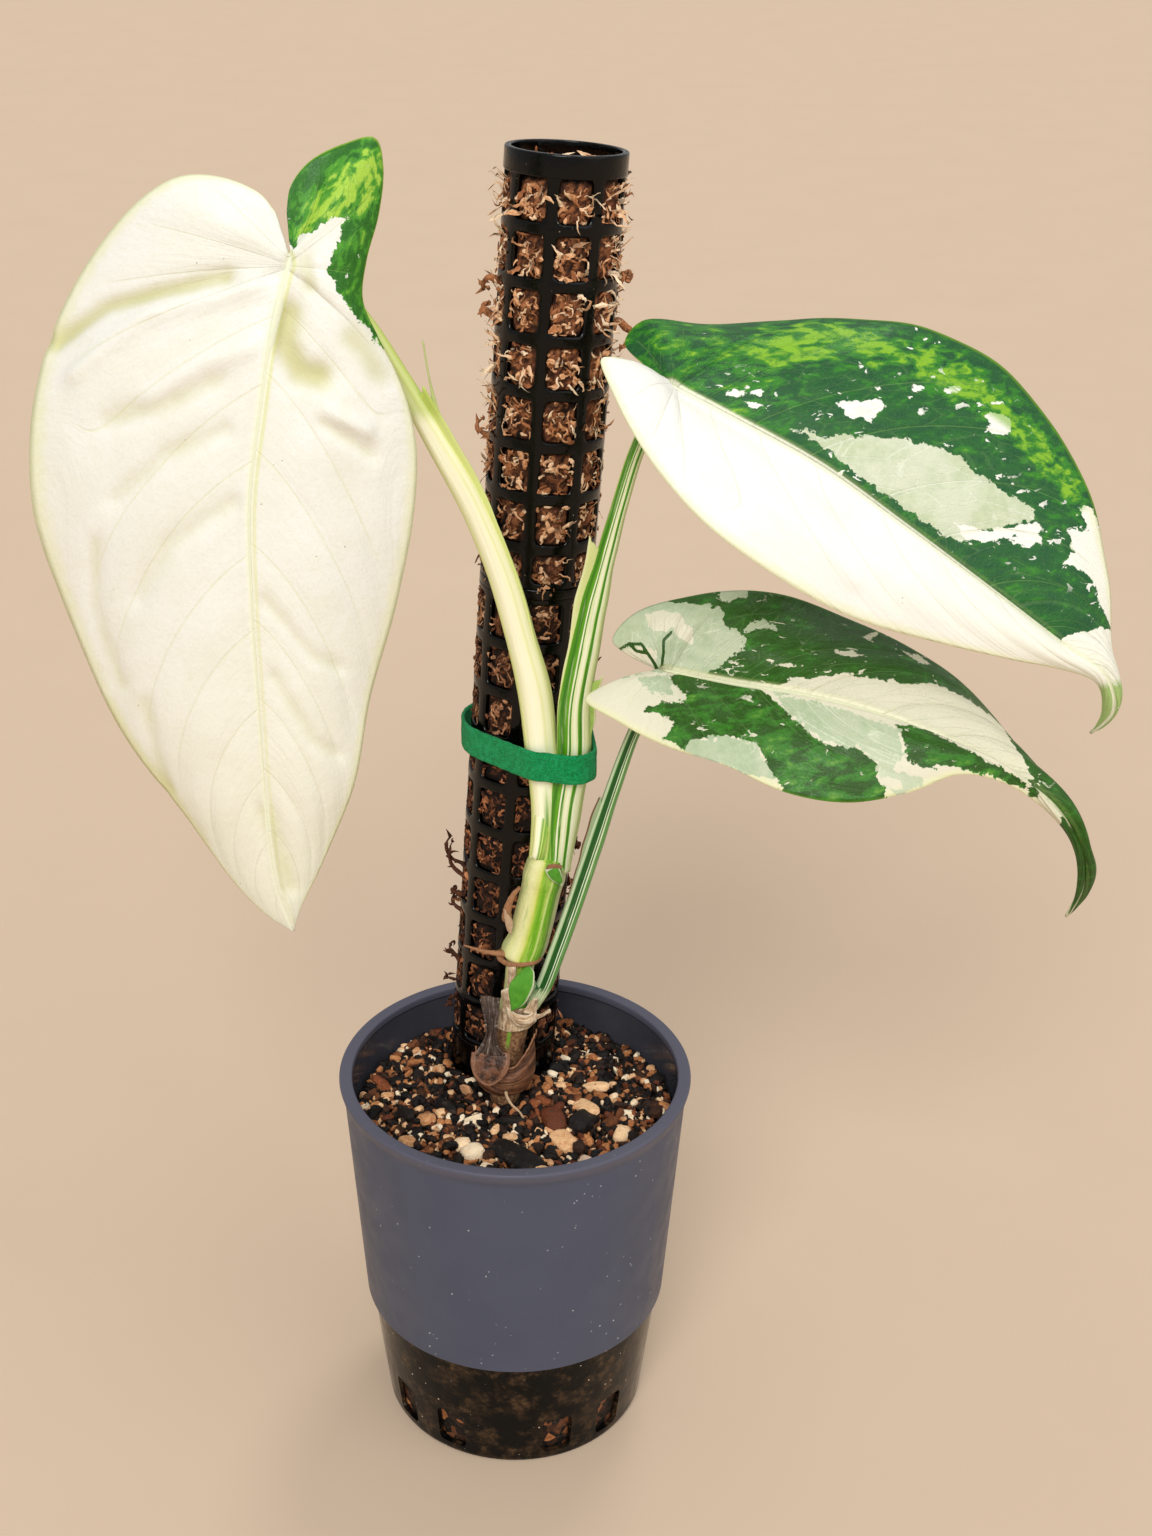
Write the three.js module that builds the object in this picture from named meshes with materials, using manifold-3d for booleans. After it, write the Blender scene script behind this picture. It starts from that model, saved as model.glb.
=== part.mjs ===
// A potted variegated syngonium that climbs a mesh pole filled with coconut fibre.
// Millimetres, +Z up. The origin is the middle of the pot's underside and the plant faces -Y.
import * as THREE from "three";
import { mergeVertices } from "three/addons/utils/BufferGeometryUtils.js";
import Module from "manifold-3d";

const wasm = await Module();
wasm.setup();

// Driving dimensions
const GAP = 0.3;
const POT_HEIGHT = 134;
const LIP_RADIUS = 60;
const SLEEVE_BOTTOM = 47;
const SLEEVE_BOTTOM_RADIUS = 52.9;
const SLEEVE_TOP_RADIUS = 58.6;
const FOOT_TAPER = 2.2;
const LIP_HEIGHT = 3;
const WALL = 1.3;
const FLOOR = 2;
const POT_SIDES = 40;
const SLOT = { width: 10, bottom: 2, top: 17.5, pairPitch: 72, firstPair: -59, apart: 26 };
const DRAIN = { radius: 4.5, ring: 27, count: 5 };
const SOIL_EDGE = 118.5;
const SOIL_MIDDLE = 121.5;
const CHUNKS = 72;

const POLE_FOOT = [-4.6, 29, 120];
const POLE_TOP = [15.3, 38, 432];
const POLE_RADIUS = 18.2;
const POLE_WALL = 1.7;
const POLE_BARS = 8;
const BAR_WIDTH = 3.6;
const FIRST_BAR = -12;
const RING_HEIGHT = 3.8;
const POLE_BURIED = 50;
const LOWER = { rings: 11, pitch: 16.6, topRing: 178.2, end: 181.5 };
const UPPER = { rings: 7, pitch: 16.2, topRing: 291.6, collar: 306, end: 312.8, collarSwell: 0.3 };
const SPIGOT = { depth: 6, wall: 1.1 };
const COIR_TOP = 308.6;

const BLADE_THICKNESS = 0.8;
const BLADE_ROWS = 24;
const BLADE_COLUMNS = 5;
const LOBE_SHARE = 0.3;
const STRAP = { thickness: 1.2, height: 10, tilt: -3, centre: [0, 25, 246.8] };

// Leaf blades: the midrib and the two edges, from the stalk to the tip. Each edge starts at the notch
// between the lobes, and "lobe" is the share of it that runs round the basal lobe.
const BLADES = {
  leaf_left: {
    midrib: [[-60, -30, 414], [-65, -36, 397], [-69, -40, 376], [-73, -43, 351], [-74, -44, 322],
      [-74, -43, 290], [-74, -40, 257], [-73, -36, 227], [-69, -32, 207]],
    left: [[-64, -25, 425], [-68, -22, 429], [-78, -20, 433], [-89, -18, 433], [-99, -17, 428],
      [-112, -16, 416], [-124, -17, 400], [-132, -18, 384], [-137, -20, 361], [-137, -22, 335],
      [-129, -25, 303], [-117, -27, 273], [-100, -29, 246], [-87, -31, 224], [-76, -32, 212], [-69, -32, 207]],
    right: [[-61, -24, 425], [-60, -21, 431], [-55, -17, 437], [-46, -14, 441], [-38, -12, 442],
      [-36, -13, 435], [-37, -18, 423], [-40, -24, 412], [-41, -27, 402], [-37, -28, 392], [-32, -28, 381],
      [-28, -27, 363], [-29, -27, 342], [-34, -28, 315], [-43, -29, 284], [-50, -30, 253], [-59, -31, 230],
      [-66, -32, 216], [-69, -32, 207]],
    lobe: { left: 0.34, right: 0.36 },
    bulge: { left: 5, right: 4 },
    wave: { height: 1, count: 3 },
  },
  leaf_upper: {
    midrib: [[44, -5, 373], [64, -12, 364], [87, -20, 353], [110, -26, 338], [136, -31, 320],
      [157, -34, 305], [171, -34, 295], [177, -30, 282], [174, -22, 270]],
    left: [[36, -9, 379], [29, -12, 382], [24, -14, 382], [29, -22, 371], [39, -30, 357], [54, -38, 341],
      [73, -42, 328], [95, -42, 316], [125, -40, 306], [155, -37, 298], [169, -35, 293], [174, -29, 281],
      [174, -22, 270]],
    right: [[37, 2, 377], [32, 10, 381], [37, 14, 386], [54, 16, 385], [78, 18, 386], [102, 18, 386],
      [122, 16, 383], [143, 12, 374], [159, 4, 358], [169, -6, 339], [174, -18, 318], [175, -28, 300],
      [179, -30, 286], [178, -26, 276], [174, -22, 270]],
    lobe: { left: 0.26, right: 0.27 },
    bulge: { left: 4, right: 4 },
    wave: { height: 0.8, count: 3 },
  },
  leaf_lower: {
    midrib: [[45, -8, 285], [65, -18, 285], [85, -26, 285], [108, -32, 281], [128, -36, 274],
      [147, -38, 264], [161, -38, 253], [172, -34, 237], [176, -28, 221], [175, -20, 205]],
    left: [[36, -12, 284], [28, -16, 283], [21, -20, 280], [31, -28, 277], [46, -36, 272], [63, -44, 269],
      [80, -48, 263], [98, -50, 261], [115, -48, 263], [130, -46, 268], [145, -43, 264], [159, -40, 252],
      [170, -35, 236], [174, -29, 220], [175, -20, 205]],
    right: [[38, -5, 288], [30, -2, 292], [36, 2, 299], [51, 4, 304], [70, 4, 306], [93, 3, 302],
      [113, -2, 294], [132, -8, 284], [148, -16, 271], [159, -26, 258], [169, -33, 247], [178, -32, 231],
      [179, -26, 217], [175, -20, 205]],
    lobe: { left: 0.27, right: 0.24 },
    bulge: { left: 3, right: 4 },
    wave: { height: 0.8, count: 4 },
  },
};

// The stem, and the three stalks with their half widths across and front to back, as [share of length, size].
const STEM_PATH = [[-4, 3, 88], [-3.4, 3.6, 122], [-2.2, 3.8, 138], [-0.6, 4, 150], [1.6, 4.4, 164], [3.2, 4.8, 174],
  [5.6, 5.2, 187], [7.8, 5.6, 198], [10, 5.9, 208]];
const STEM_WIDTHS = [[0, 4], [0.3, 5], [0.55, 5.3], [0.62, 4.6], [0.69, 4.7], [0.73, 6.8], [1, 6.5]];
const STEM_NODES = [{ at: 0.55, swell: 0.8 }, { at: 0.72, swell: 0.7 }, { at: 0.985, swell: 0.6 }];
const STALKS = {
  petiole_left: {
    path: [[9, 6.8, 209.4], [10.4, 7, 230], [8.5, 7.5, 250], [6, 6, 272], [2, 3, 290], [-4, -2, 314],
      [-13, -8, 339], [-23, -14, 360], [-32, -19, 378], [-45, -24, 400], [-55, -27, 410], [-61, -28.4, 409.5]],
    across: [[0, 4.6], [0.12, 5.2], [0.27, 5.3], [0.38, 4.6], [0.6, 4], [0.8, 2.9], [1, 2.1]],
    deep: [[0, 4.4], [0.12, 5], [0.27, 5], [0.38, 4.5], [0.6, 3.8], [0.8, 2.9], [1, 2.1]],
    wings: [{ from: 0.28, to: 0.76, angle: 25, height: [[0, 0], [0.4, 0.6], [0.65, 1.4], [1, 2.4]], lift: 3 }],
    tip: [[-20, -12.6, 357], [-22.7, -13.7, 369], [-24.5, -14.8, 379], [-25.7, -16, 388]],
  },
  petiole_upper: {
    path: [[14.2, 6, 208], [16.1, 4.8, 233], [18.5, 4.6, 250], [18.8, 4.6, 269], [22, 4, 290], [24.4, 3, 304],
      [27.8, 1.4, 320], [31.4, -0.5, 336], [35, -1.8, 350], [38.4, -2.6, 359], [42.5, -3.6, 367],
      [47.4, -5, 370.3]],
    across: [[0, 4], [0.14, 5.6], [0.3, 5.4], [0.45, 4.8], [0.56, 4.2], [0.66, 3], [0.76, 2.5], [1, 2]],
    deep: [[0, 3.4], [0.14, 4], [0.3, 4.2], [0.45, 3.8], [0.56, 3.4], [0.66, 2.8], [0.76, 2.4], [1, 2]],
    wings: [
      { from: 0.3, to: 0.67, angle: 165, height: [[0, 0], [0.4, 0.6], [0.75, 2], [1, 3.4]], lift: 3 },
      { from: 0.28, to: 0.4, angle: 12, height: [[0, 0], [0.5, 1.8], [1, 2.6]], lift: 3 },
    ],
  },
  petiole_lower: {
    path: [[5.6, 1.4, 158], [9.6, -0.2, 167], [14, -1.2, 181], [19, -1.8, 198], [24.8, -2.4, 219],
      [30.8, -3, 241], [36.6, -4.4, 261], [41.2, -6, 273], [46, -7.4, 281], [49.6, -7.9, 283.2]],
    across: [[0, 2.4], [0.1, 2.8], [0.5, 2.8], [0.65, 2.4], [0.85, 2], [1, 1.8]],
    deep: [[0, 2.4], [0.1, 2.6], [0.5, 2.6], [0.65, 2.3], [0.85, 2], [1, 1.8]],
    wings: [{ from: 0.25, to: 0.6, angle: 160, height: [[0, 0], [0.5, 0.8], [0.85, 1.8], [1, 1.4]], lift: 4 }],
  },
};

const COLOURS = {
  pot_sleeve: [0x54545e, 0.45],
  inner_pot: [0x1b1a1c, 0.25],
  soil: [0x4a3527, 0.95],
  pole_mesh_lower: [0x121213, 0.4],
  pole_mesh_upper: [0x121213, 0.4],
  coir_core: [0xa8744a, 0.95],
  stem: [0x8f9a58, 0.6],
  petiole_left: [0xdfe3a8, 0.45],
  petiole_upper: [0x8fb45c, 0.45],
  petiole_lower: [0x7f9c66, 0.45],
  leaf_left: [0xf6f3e0, 0.4],
  leaf_upper: [0x6f9a62, 0.4],
  leaf_lower: [0x6f9568, 0.4],
  dry_sheath: [0x7a5238, 0.85],
  torn_sheath: [0xc7b48c, 0.85],
  tie: [0x0d9a58, 0.95],
};

const vector = (p) => new THREE.Vector3(...p);
const curve = (points) => new THREE.CatmullRomCurve3(points.map(vector), false, "centripetal");
const radians = THREE.MathUtils.degToRad;

// A seeded draw between 0 and 1, the same on every run.
function seededDraw(seed) {
  let state = seed;
  return () => {
    state = (state + 0x6d2b79f5) | 0;
    let t = Math.imul(state ^ (state >>> 15), 1 | state);
    t = (t + Math.imul(t ^ (t >>> 7), 61 | t)) ^ t;
    return ((t ^ (t >>> 14)) >>> 0) / 4294967296;
  };
}

// Reads a list of [place, size] pairs as a smooth function of the place.
function profile(pairs, place) {
  const next = pairs.findIndex(([at]) => at >= place);
  if (next === 0) return pairs[0][1];
  if (next < 0) return pairs.at(-1)[1];
  const [a, low] = pairs[next - 1];
  const [b, high] = pairs[next];
  return THREE.MathUtils.lerp(low, high, THREE.MathUtils.smoothstep(place, a, b));
}

// Joins equal vertices, drops faces that have shrunk to a line and turns the faces outwards.
function closedGeometry(geometry) {
  const bare = new THREE.BufferGeometry();
  bare.setAttribute("position", geometry.getAttribute("position"));
  bare.setIndex(geometry.index);
  const merged = mergeVertices(bare, 1e-3);
  const faces = [];
  for (let i = 0; i < merged.index.count; i += 3) {
    const [a, b, c] = [0, 1, 2].map((k) => merged.index.getX(i + k));
    if (a !== b && b !== c && c !== a) faces.push([a, b, c]);
  }
  const position = merged.getAttribute("position");
  const corner = (i) => new THREE.Vector3().fromBufferAttribute(position, i);
  const volume = faces.reduce((sum, [a, b, c]) => sum + corner(a).dot(corner(b).cross(corner(c))), 0);
  const turned = volume < 0 ? faces.map(([a, b, c]) => [a, c, b]) : faces;
  merged.setIndex(turned.flat());
  return merged;
}

function solid(geometry) {
  const merged = closedGeometry(geometry);
  const vertProperties = merged.getAttribute("position").array;
  const triVerts = new Uint32Array(merged.index.array);
  return new wasm.Manifold(new wasm.Mesh({ numProp: 3, vertProperties, triVerts }));
}

function geometryOf(body) {
  const mesh = body.getMesh();
  const geometry = new THREE.BufferGeometry();
  geometry.setAttribute("position", new THREE.BufferAttribute(mesh.vertProperties, 3));
  geometry.setIndex(new THREE.BufferAttribute(mesh.triVerts, 1));
  return geometry;
}

// The largest body of a cut solid, without the loose scraps that the cut leaves.
function largest(body) {
  return body.decompose().reduce((a, b) => (a.volume() > b.volume() ? a : b));
}

// A closed sheet of even thickness on a grid of points, split into triangles alike on both faces.
function sheet(grid, thickness) {
  const rows = grid.length;
  const columns = grid[0].length;
  const at = (i, j) => grid[THREE.MathUtils.clamp(i, 0, rows - 1)][THREE.MathUtils.clamp(j, 0, columns - 1)];
  const normalAt = (i, j) => {
    const along = at(i + 1, j).clone().sub(at(i - 1, j));
    const across = at(i, j + 1).clone().sub(at(i, j - 1));
    return along.cross(across).normalize();
  };
  const closes = (i) => at(i, 0).distanceTo(at(i, columns - 1)) < 1e-3;
  const normals = grid.map((row, i) => row.map((_, j) => {
    if (!closes(i)) return normalAt(i, j);
    return normalAt(i === 0 ? 1 : i - 1, Math.floor(columns / 2));
  }));
  const positions = [];
  for (const side of [0.5, -0.5]) {
    grid.forEach((row, i) => row.forEach((point, j) => {
      positions.push(...point.clone().addScaledVector(normals[i][j], side * thickness).toArray());
    }));
  }
  const under = rows * columns;
  const index = (i, j) => i * columns + j;
  const faces = [];
  for (let i = 0; i < rows - 1; i++) {
    for (let j = 0; j < columns - 1; j++) {
      const [a, b, c, d] = [index(i, j), index(i, j + 1), index(i + 1, j + 1), index(i + 1, j)];
      faces.push(a, d, c, a, c, b);
      faces.push(a + under, c + under, d + under, a + under, b + under, c + under);
    }
  }
  const border = [];
  for (let j = 0; j < columns - 1; j++) border.push(index(0, j));
  for (let i = 0; i < rows - 1; i++) border.push(index(i, columns - 1));
  for (let j = columns - 1; j > 0; j--) border.push(index(rows - 1, j));
  for (let i = rows - 1; i > 0; i--) border.push(index(i, 0));
  border.forEach((a, k) => {
    const b = border[(k + 1) % border.length];
    faces.push(a, b, b + under, a, b + under, a + under);
  });
  const geometry = new THREE.BufferGeometry();
  geometry.setAttribute("position", new THREE.Float32BufferAttribute(positions, 3));
  geometry.setIndex(faces);
  return geometry;
}

// The cross-section frame of a limb: its middle, its way on, and its right and front directions.
function frameAt(path, share) {
  const middle = path.getPointAt(share);
  const onward = path.getTangentAt(share);
  const right = onward.clone().cross(new THREE.Vector3(0, -1, 0)).normalize();
  const front = right.clone().cross(onward).normalize();
  return { middle, onward, right, front };
}

// A closed limb along a path, with an oval section whose two half widths are functions of the share of length.
function limb(path, steps, sides, across, deep) {
  const positions = [];
  for (let i = 0; i <= steps; i++) {
    const share = i / steps;
    const { middle, right, front } = frameAt(path, share);
    for (let k = 0; k < sides; k++) {
      const angle = (2 * Math.PI * k) / sides;
      const point = middle.clone()
        .addScaledVector(right, Math.cos(angle) * across(share))
        .addScaledVector(front, Math.sin(angle) * deep(share));
      positions.push(...point.toArray());
    }
  }
  const first = positions.length / 3;
  positions.push(...path.getPointAt(0).toArray(), ...path.getPointAt(1).toArray());
  const faces = [];
  for (let k = 0; k < sides; k++) {
    const next = (k + 1) % sides;
    for (let i = 0; i < steps; i++) {
      const [a, b] = [i * sides + k, i * sides + next];
      faces.push(a, b, b + sides, a, b + sides, a + sides);
    }
    faces.push(first, next, k, first + 1, steps * sides + k, steps * sides + next);
  }
  const geometry = new THREE.BufferGeometry();
  geometry.setAttribute("position", new THREE.Float32BufferAttribute(positions, 3));
  geometry.setIndex(faces);
  return geometry;
}

// The pot: a dark inner pot, and the grey sleeve whose lip hooks over the inner pot's top edge.
const sleeveRadius = (z) => THREE.MathUtils.mapLinear(
  z, SLEEVE_BOTTOM, POT_HEIGHT - LIP_HEIGHT, SLEEVE_BOTTOM_RADIUS, SLEEVE_TOP_RADIUS);
// Below the sleeve the inner pot tapers a little more.
const potRadius = (z) => sleeveRadius(z) - WALL - GAP - FOOT_TAPER * Math.max(0, 1 - z / SLEEVE_BOTTOM);

function lathe(profilePoints, sides = POT_SIDES) {
  const points = profilePoints.map(([r, z]) => new THREE.Vector2(r, z));
  const geometry = new THREE.LatheGeometry(points, sides);
  return geometry.rotateX(Math.PI / 2);
}

function potSleeve() {
  const under = POT_HEIGHT - LIP_HEIGHT;
  const lipInside = potRadius(under) - WALL - 0.2;
  return lathe([
    [SLEEVE_BOTTOM_RADIUS - WALL, SLEEVE_BOTTOM],
    [SLEEVE_BOTTOM_RADIUS, SLEEVE_BOTTOM],
    [sleeveRadius(under - 0.6), under - 0.6],
    [LIP_RADIUS - 0.3, under + 0.2],
    [LIP_RADIUS, under + 1.4],
    [LIP_RADIUS - 0.7, POT_HEIGHT - 0.4],
    [LIP_RADIUS - 2, POT_HEIGHT],
    [lipInside + 0.8, POT_HEIGHT - 0.3],
    [lipInside, POT_HEIGHT - 1.3],
    [lipInside, under],
    [sleeveRadius(under) - WALL, under],
    [SLEEVE_BOTTOM_RADIUS - WALL, SLEEVE_BOTTOM],
  ]);
}

function potInside(top, clearance) {
  return lathe([
    [0, FLOOR + clearance],
    [potRadius(FLOOR) - WALL - clearance, FLOOR + clearance],
    [potRadius(SLEEVE_BOTTOM) - WALL - clearance, SLEEVE_BOTTOM],
    [potRadius(top) - WALL - clearance, top],
    [0, top],
  ]);
}

// The slots come in pairs round the foot of the inner pot.
function slotAngles() {
  const angles = [];
  for (let pair = 0; pair < 5; pair++) {
    const middle = SLOT.firstPair + pair * SLOT.pairPitch;
    angles.push(middle - SLOT.apart / 2, middle + SLOT.apart / 2);
  }
  return angles;
}

function innerPot() {
  const top = POT_HEIGHT - LIP_HEIGHT - GAP;
  const shell = solid(lathe([
    [0, 0],
    [potRadius(0) - 1.5, 0],
    [potRadius(1.5), 1.5],
    [potRadius(SLEEVE_BOTTOM), SLEEVE_BOTTOM],
    [potRadius(top), top],
    [potRadius(top) - WALL, top],
    [potRadius(SLEEVE_BOTTOM) - WALL, SLEEVE_BOTTOM],
    [potRadius(FLOOR) - WALL, FLOOR],
    [0, FLOOR],
  ]));
  const cutters = slotAngles().map((angle) => {
    const slot = new THREE.BoxGeometry(12, SLOT.width, SLOT.top - SLOT.bottom);
    slot.translate(potRadius(10), 0, (SLOT.top + SLOT.bottom) / 2 + FLOOR / 2);
    return solid(slot.rotateZ(radians(angle)));
  });
  for (let k = 0; k < DRAIN.count; k++) {
    const hole = new THREE.CylinderGeometry(DRAIN.radius, DRAIN.radius, 3 * FLOOR, 12);
    hole.rotateX(Math.PI / 2).translate(DRAIN.ring, 0, 0).rotateZ(radians(k * 360 / DRAIN.count));
    cutters.push(solid(hole));
  }
  return cutters.reduce((pot, cutter) => pot.subtract(cutter), shell);
}

// The pole's own frame: its axis is local Z and its height is measured from the soil.
const poleAxis = vector(POLE_TOP).sub(vector(POLE_FOOT)).normalize();
const poleTurn = new THREE.Quaternion().setFromUnitVectors(new THREE.Vector3(0, 0, 1), poleAxis);
const poleMatrix = new THREE.Matrix4().compose(vector(POLE_FOOT), poleTurn, new THREE.Vector3(1, 1, 1));
const poleBore = POLE_RADIUS - POLE_WALL;
// The bore's faces across the windows are flat, so what goes inside it has this radius at most.
const clearBore = poleBore * Math.cos(Math.PI / POLE_BARS - BAR_WIDTH / 2 / POLE_RADIUS) - GAP;

// A tube with rows of windows between upright bars. Each level is [height, outer radius, windows above it].
function latticeTube(levels) {
  const half = Math.asin(BAR_WIDTH / 2 / POLE_RADIUS);
  const edges = [];
  for (let bar = 0; bar < POLE_BARS; bar++) {
    const middle = radians(-90 + FIRST_BAR + (bar * 360) / POLE_BARS);
    edges.push(middle - half, middle + half);
  }
  const count = edges.length;
  const positions = [];
  levels.forEach(([height, radius]) => {
    for (const r of [radius, poleBore]) {
      edges.forEach((angle) => positions.push(r * Math.cos(angle), r * Math.sin(angle), height));
    }
  });
  const outer = (level, k) => level * 2 * count + (k % count);
  const inner = (level, k) => outer(level, k) + count;
  const faces = [];
  const quad = (a, b, c, d) => faces.push(a, b, c, a, c, d);
  const isWindow = (level, k) => level >= 0 && level < levels.length - 1 && levels[level][2] && k % 2 === 1;
  for (let k = 0; k < count; k++) {
    for (let level = 0; level < levels.length - 1; level++) {
      if (isWindow(level, k)) continue;
      quad(outer(level, k), outer(level, k + 1), outer(level + 1, k + 1), outer(level + 1, k));
      quad(inner(level, k), inner(level + 1, k), inner(level + 1, k + 1), inner(level, k + 1));
      if (!levels[level][2]) continue;
      quad(outer(level, k), outer(level + 1, k), inner(level + 1, k), inner(level, k));
      quad(outer(level, k + 1), inner(level, k + 1), inner(level + 1, k + 1), outer(level + 1, k + 1));
    }
    for (let level = 0; level < levels.length; level++) {
      const below = level === 0 || isWindow(level - 1, k);
      const above = level === levels.length - 1 || isWindow(level, k);
      if (above && !below) quad(outer(level, k), outer(level, k + 1), inner(level, k + 1), inner(level, k));
      if (below && !above) quad(outer(level, k), inner(level, k), inner(level, k + 1), outer(level, k + 1));
    }
  }
  const geometry = new THREE.BufferGeometry();
  geometry.setAttribute("position", new THREE.Float32BufferAttribute(positions, 3));
  geometry.setIndex(faces);
  return geometry;
}

function poleLower() {
  const levels = [[-POLE_BURIED, POLE_RADIUS, false]];
  for (let ring = LOWER.rings - 1; ring >= 0; ring--) {
    const middle = LOWER.topRing - ring * LOWER.pitch;
    if (ring < LOWER.rings - 1) levels.push([middle - RING_HEIGHT / 2, POLE_RADIUS, false]);
    levels.push([ring === 0 ? LOWER.end : middle + RING_HEIGHT / 2, POLE_RADIUS, ring > 0]);
  }
  return latticeTube(levels);
}

function poleUpper() {
  const start = LOWER.end + GAP;
  const levels = [[start, POLE_RADIUS, false], [start + RING_HEIGHT / 2, POLE_RADIUS, true]];
  for (let ring = UPPER.rings - 1; ring >= 0; ring--) {
    const middle = UPPER.topRing - ring * UPPER.pitch;
    levels.push([middle - RING_HEIGHT / 2, POLE_RADIUS, false], [middle + RING_HEIGHT / 2, POLE_RADIUS, true]);
  }
  const collar = POLE_RADIUS + UPPER.collarSwell;
  levels.push([UPPER.collar, collar, false], [UPPER.end, collar, false]);
  const spigot = lathe([
    [clearBore - SPIGOT.wall, start - SPIGOT.depth],
    [clearBore, start - SPIGOT.depth],
    [clearBore, start - GAP],
    [poleBore + 0.4, start + 0.2],
    [poleBore + 0.4, start + 1],
    [clearBore - SPIGOT.wall, start + 1],
    [clearBore - SPIGOT.wall, start - SPIGOT.depth],
  ], 24);
  return solid(latticeTube(levels)).add(solid(spigot));
}

// The coir fills the pole. Its tufts are slim spikes through the windows, short where the stalks climb.
function coirCore() {
  const draw = seededDraw(7);
  const sides = 24;
  const radius = clearBore - 0.05;
  const start = LOWER.end + GAP;
  const waist = (clearBore - SPIGOT.wall) * Math.cos(Math.PI / sides) - GAP;
  const core = new THREE.CylinderGeometry(radius, radius, COIR_TOP + POLE_BURIED - 2, sides);
  core.rotateX(Math.PI / 2).translate(0, 0, (COIR_TOP - POLE_BURIED + 2) / 2);
  let body = solid(core);
  const groove = lathe([
    [waist, start - SPIGOT.depth - GAP],
    [POLE_RADIUS, start - SPIGOT.depth - GAP],
    [POLE_RADIUS, start + 1 + GAP],
    [waist, start + 1 + GAP],
    [waist, start - SPIGOT.depth - GAP],
  ], sides);
  body = body.subtract(solid(groove));
  const rows = [];
  for (let ring = 1; ring < LOWER.rings - 1; ring++) rows.push(LOWER.topRing - (ring - 0.5) * LOWER.pitch);
  for (let ring = 0; ring < UPPER.rings; ring++) rows.push(UPPER.topRing - (ring - 0.5) * UPPER.pitch);
  for (const height of rows) {
    for (let bar = 0; bar < POLE_BARS; bar++) {
      const facing = FIRST_BAR + ((bar + 0.5) * 360) / POLE_BARS;
      const underStrap = Math.abs(height + POLE_FOOT[2] - STRAP.centre[2]) < 15;
      const crowded = underStrap || (Math.cos(radians(facing)) > 0.2 && height < 235);
      const reach = crowded ? 1.2 : 1.5 + 4.5 * draw() ** 2;
      const spike = new THREE.ConeGeometry(2.6 + draw(), POLE_WALL + reach + 3, 3);
      spike.translate(0, (POLE_WALL + reach + 3) / 2 - 3, 0).rotateX(Math.PI / 2);
      spike.rotateY(radians(90 + 16 * (draw() - 0.5))).rotateZ(radians(10 * (draw() - 0.5)));
      spike.translate(radius, 1.6 * (draw() - 0.5), height + 2 * (draw() - 0.5));
      body = body.add(solid(spike.rotateZ(radians(-90 + facing))));
    }
  }
  for (let k = 0; k < 7; k++) {
    const spike = new THREE.ConeGeometry(2.5, 5, 3).rotateX(Math.PI / 2);
    spike.translate(radius * (0.3 + 0.45 * draw()), 0, COIR_TOP + 0.8).rotateZ(radians(k * 51));
    body = body.add(solid(spike));
  }
  return body;
}

// The soil is one body with its bark and pebble chunks, and plain holes for the pole and the stem.
function soil() {
  const draw = seededDraw(21);
  const edge = potRadius(SOIL_EDGE) - WALL - GAP;
  const bulk = lathe([
    [0, FLOOR + GAP],
    [potRadius(FLOOR) - WALL - GAP, FLOOR + GAP],
    [potRadius(SLEEVE_BOTTOM) - WALL - GAP, SLEEVE_BOTTOM],
    [edge, SOIL_EDGE],
    [edge * 0.6, SOIL_EDGE + 0.8 * (SOIL_MIDDLE - SOIL_EDGE)],
    [0, SOIL_MIDDLE],
  ]);
  let body = solid(bulk);
  for (let k = 0; k < CHUNKS; k++) {
    const away = edge * Math.sqrt((k + 0.5) / CHUNKS);
    const angle = k * 2.39996 + 0.3 * draw();
    const size = 2.2 + 3.2 * draw() ** 2;
    const chunk = k % 3 === 0 ? new THREE.BoxGeometry(2, 1.4, 1) : new THREE.OctahedronGeometry(1);
    chunk.scale(size * (1 + 0.6 * draw()), size, size * (0.6 + 0.3 * draw()));
    chunk.rotateX(0.7 * (draw() - 0.5)).rotateY(0.7 * (draw() - 0.5)).rotateZ(6.28 * draw());
    const height = THREE.MathUtils.mapLinear(away, 0, edge, SOIL_MIDDLE, SOIL_EDGE);
    chunk.translate(away * Math.cos(angle), away * Math.sin(angle), height - 0.1 * size);
    const nearStem = Math.hypot(away * Math.cos(angle) + 3, away * Math.sin(angle) - 2) < 17;
    if (!nearStem) body = body.add(solid(chunk));
  }
  body = body.intersect(solid(potInside(POT_HEIGHT - 4, GAP)));
  const poleHole = new THREE.CylinderGeometry(POLE_RADIUS + GAP, POLE_RADIUS + GAP, POLE_BURIED + 20, 32);
  poleHole.rotateX(Math.PI / 2).translate(0, 0, 10 - POLE_BURIED / 2).applyMatrix4(poleMatrix);
  body = body.subtract(solid(poleHole)).subtract(stemLimb(GAP + 0.1));
  return largest(body);
}

// The stem with its ringed nodes. "Grown" is the clearance by which a copy of it cuts its neighbours.
const stemPath = curve(STEM_PATH);
function stemLimb(grown) {
  const radius = (share) => STEM_NODES.reduce(
    (size, { at, swell }) => size + swell * Math.exp(-(((share - at) / 0.022) ** 2)),
    profile(STEM_WIDTHS, share) + grown);
  return solid(limb(stemPath, 46, 8, radius, radius));
}

// A short root or bud on the stem: a tapering limb through a few points.
function sprout(points, thick, thin, grown = 0) {
  const size = (share) => THREE.MathUtils.lerp(thick, thin, share) + grown;
  return solid(limb(curve(points), 7, 6, size, size));
}

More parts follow.
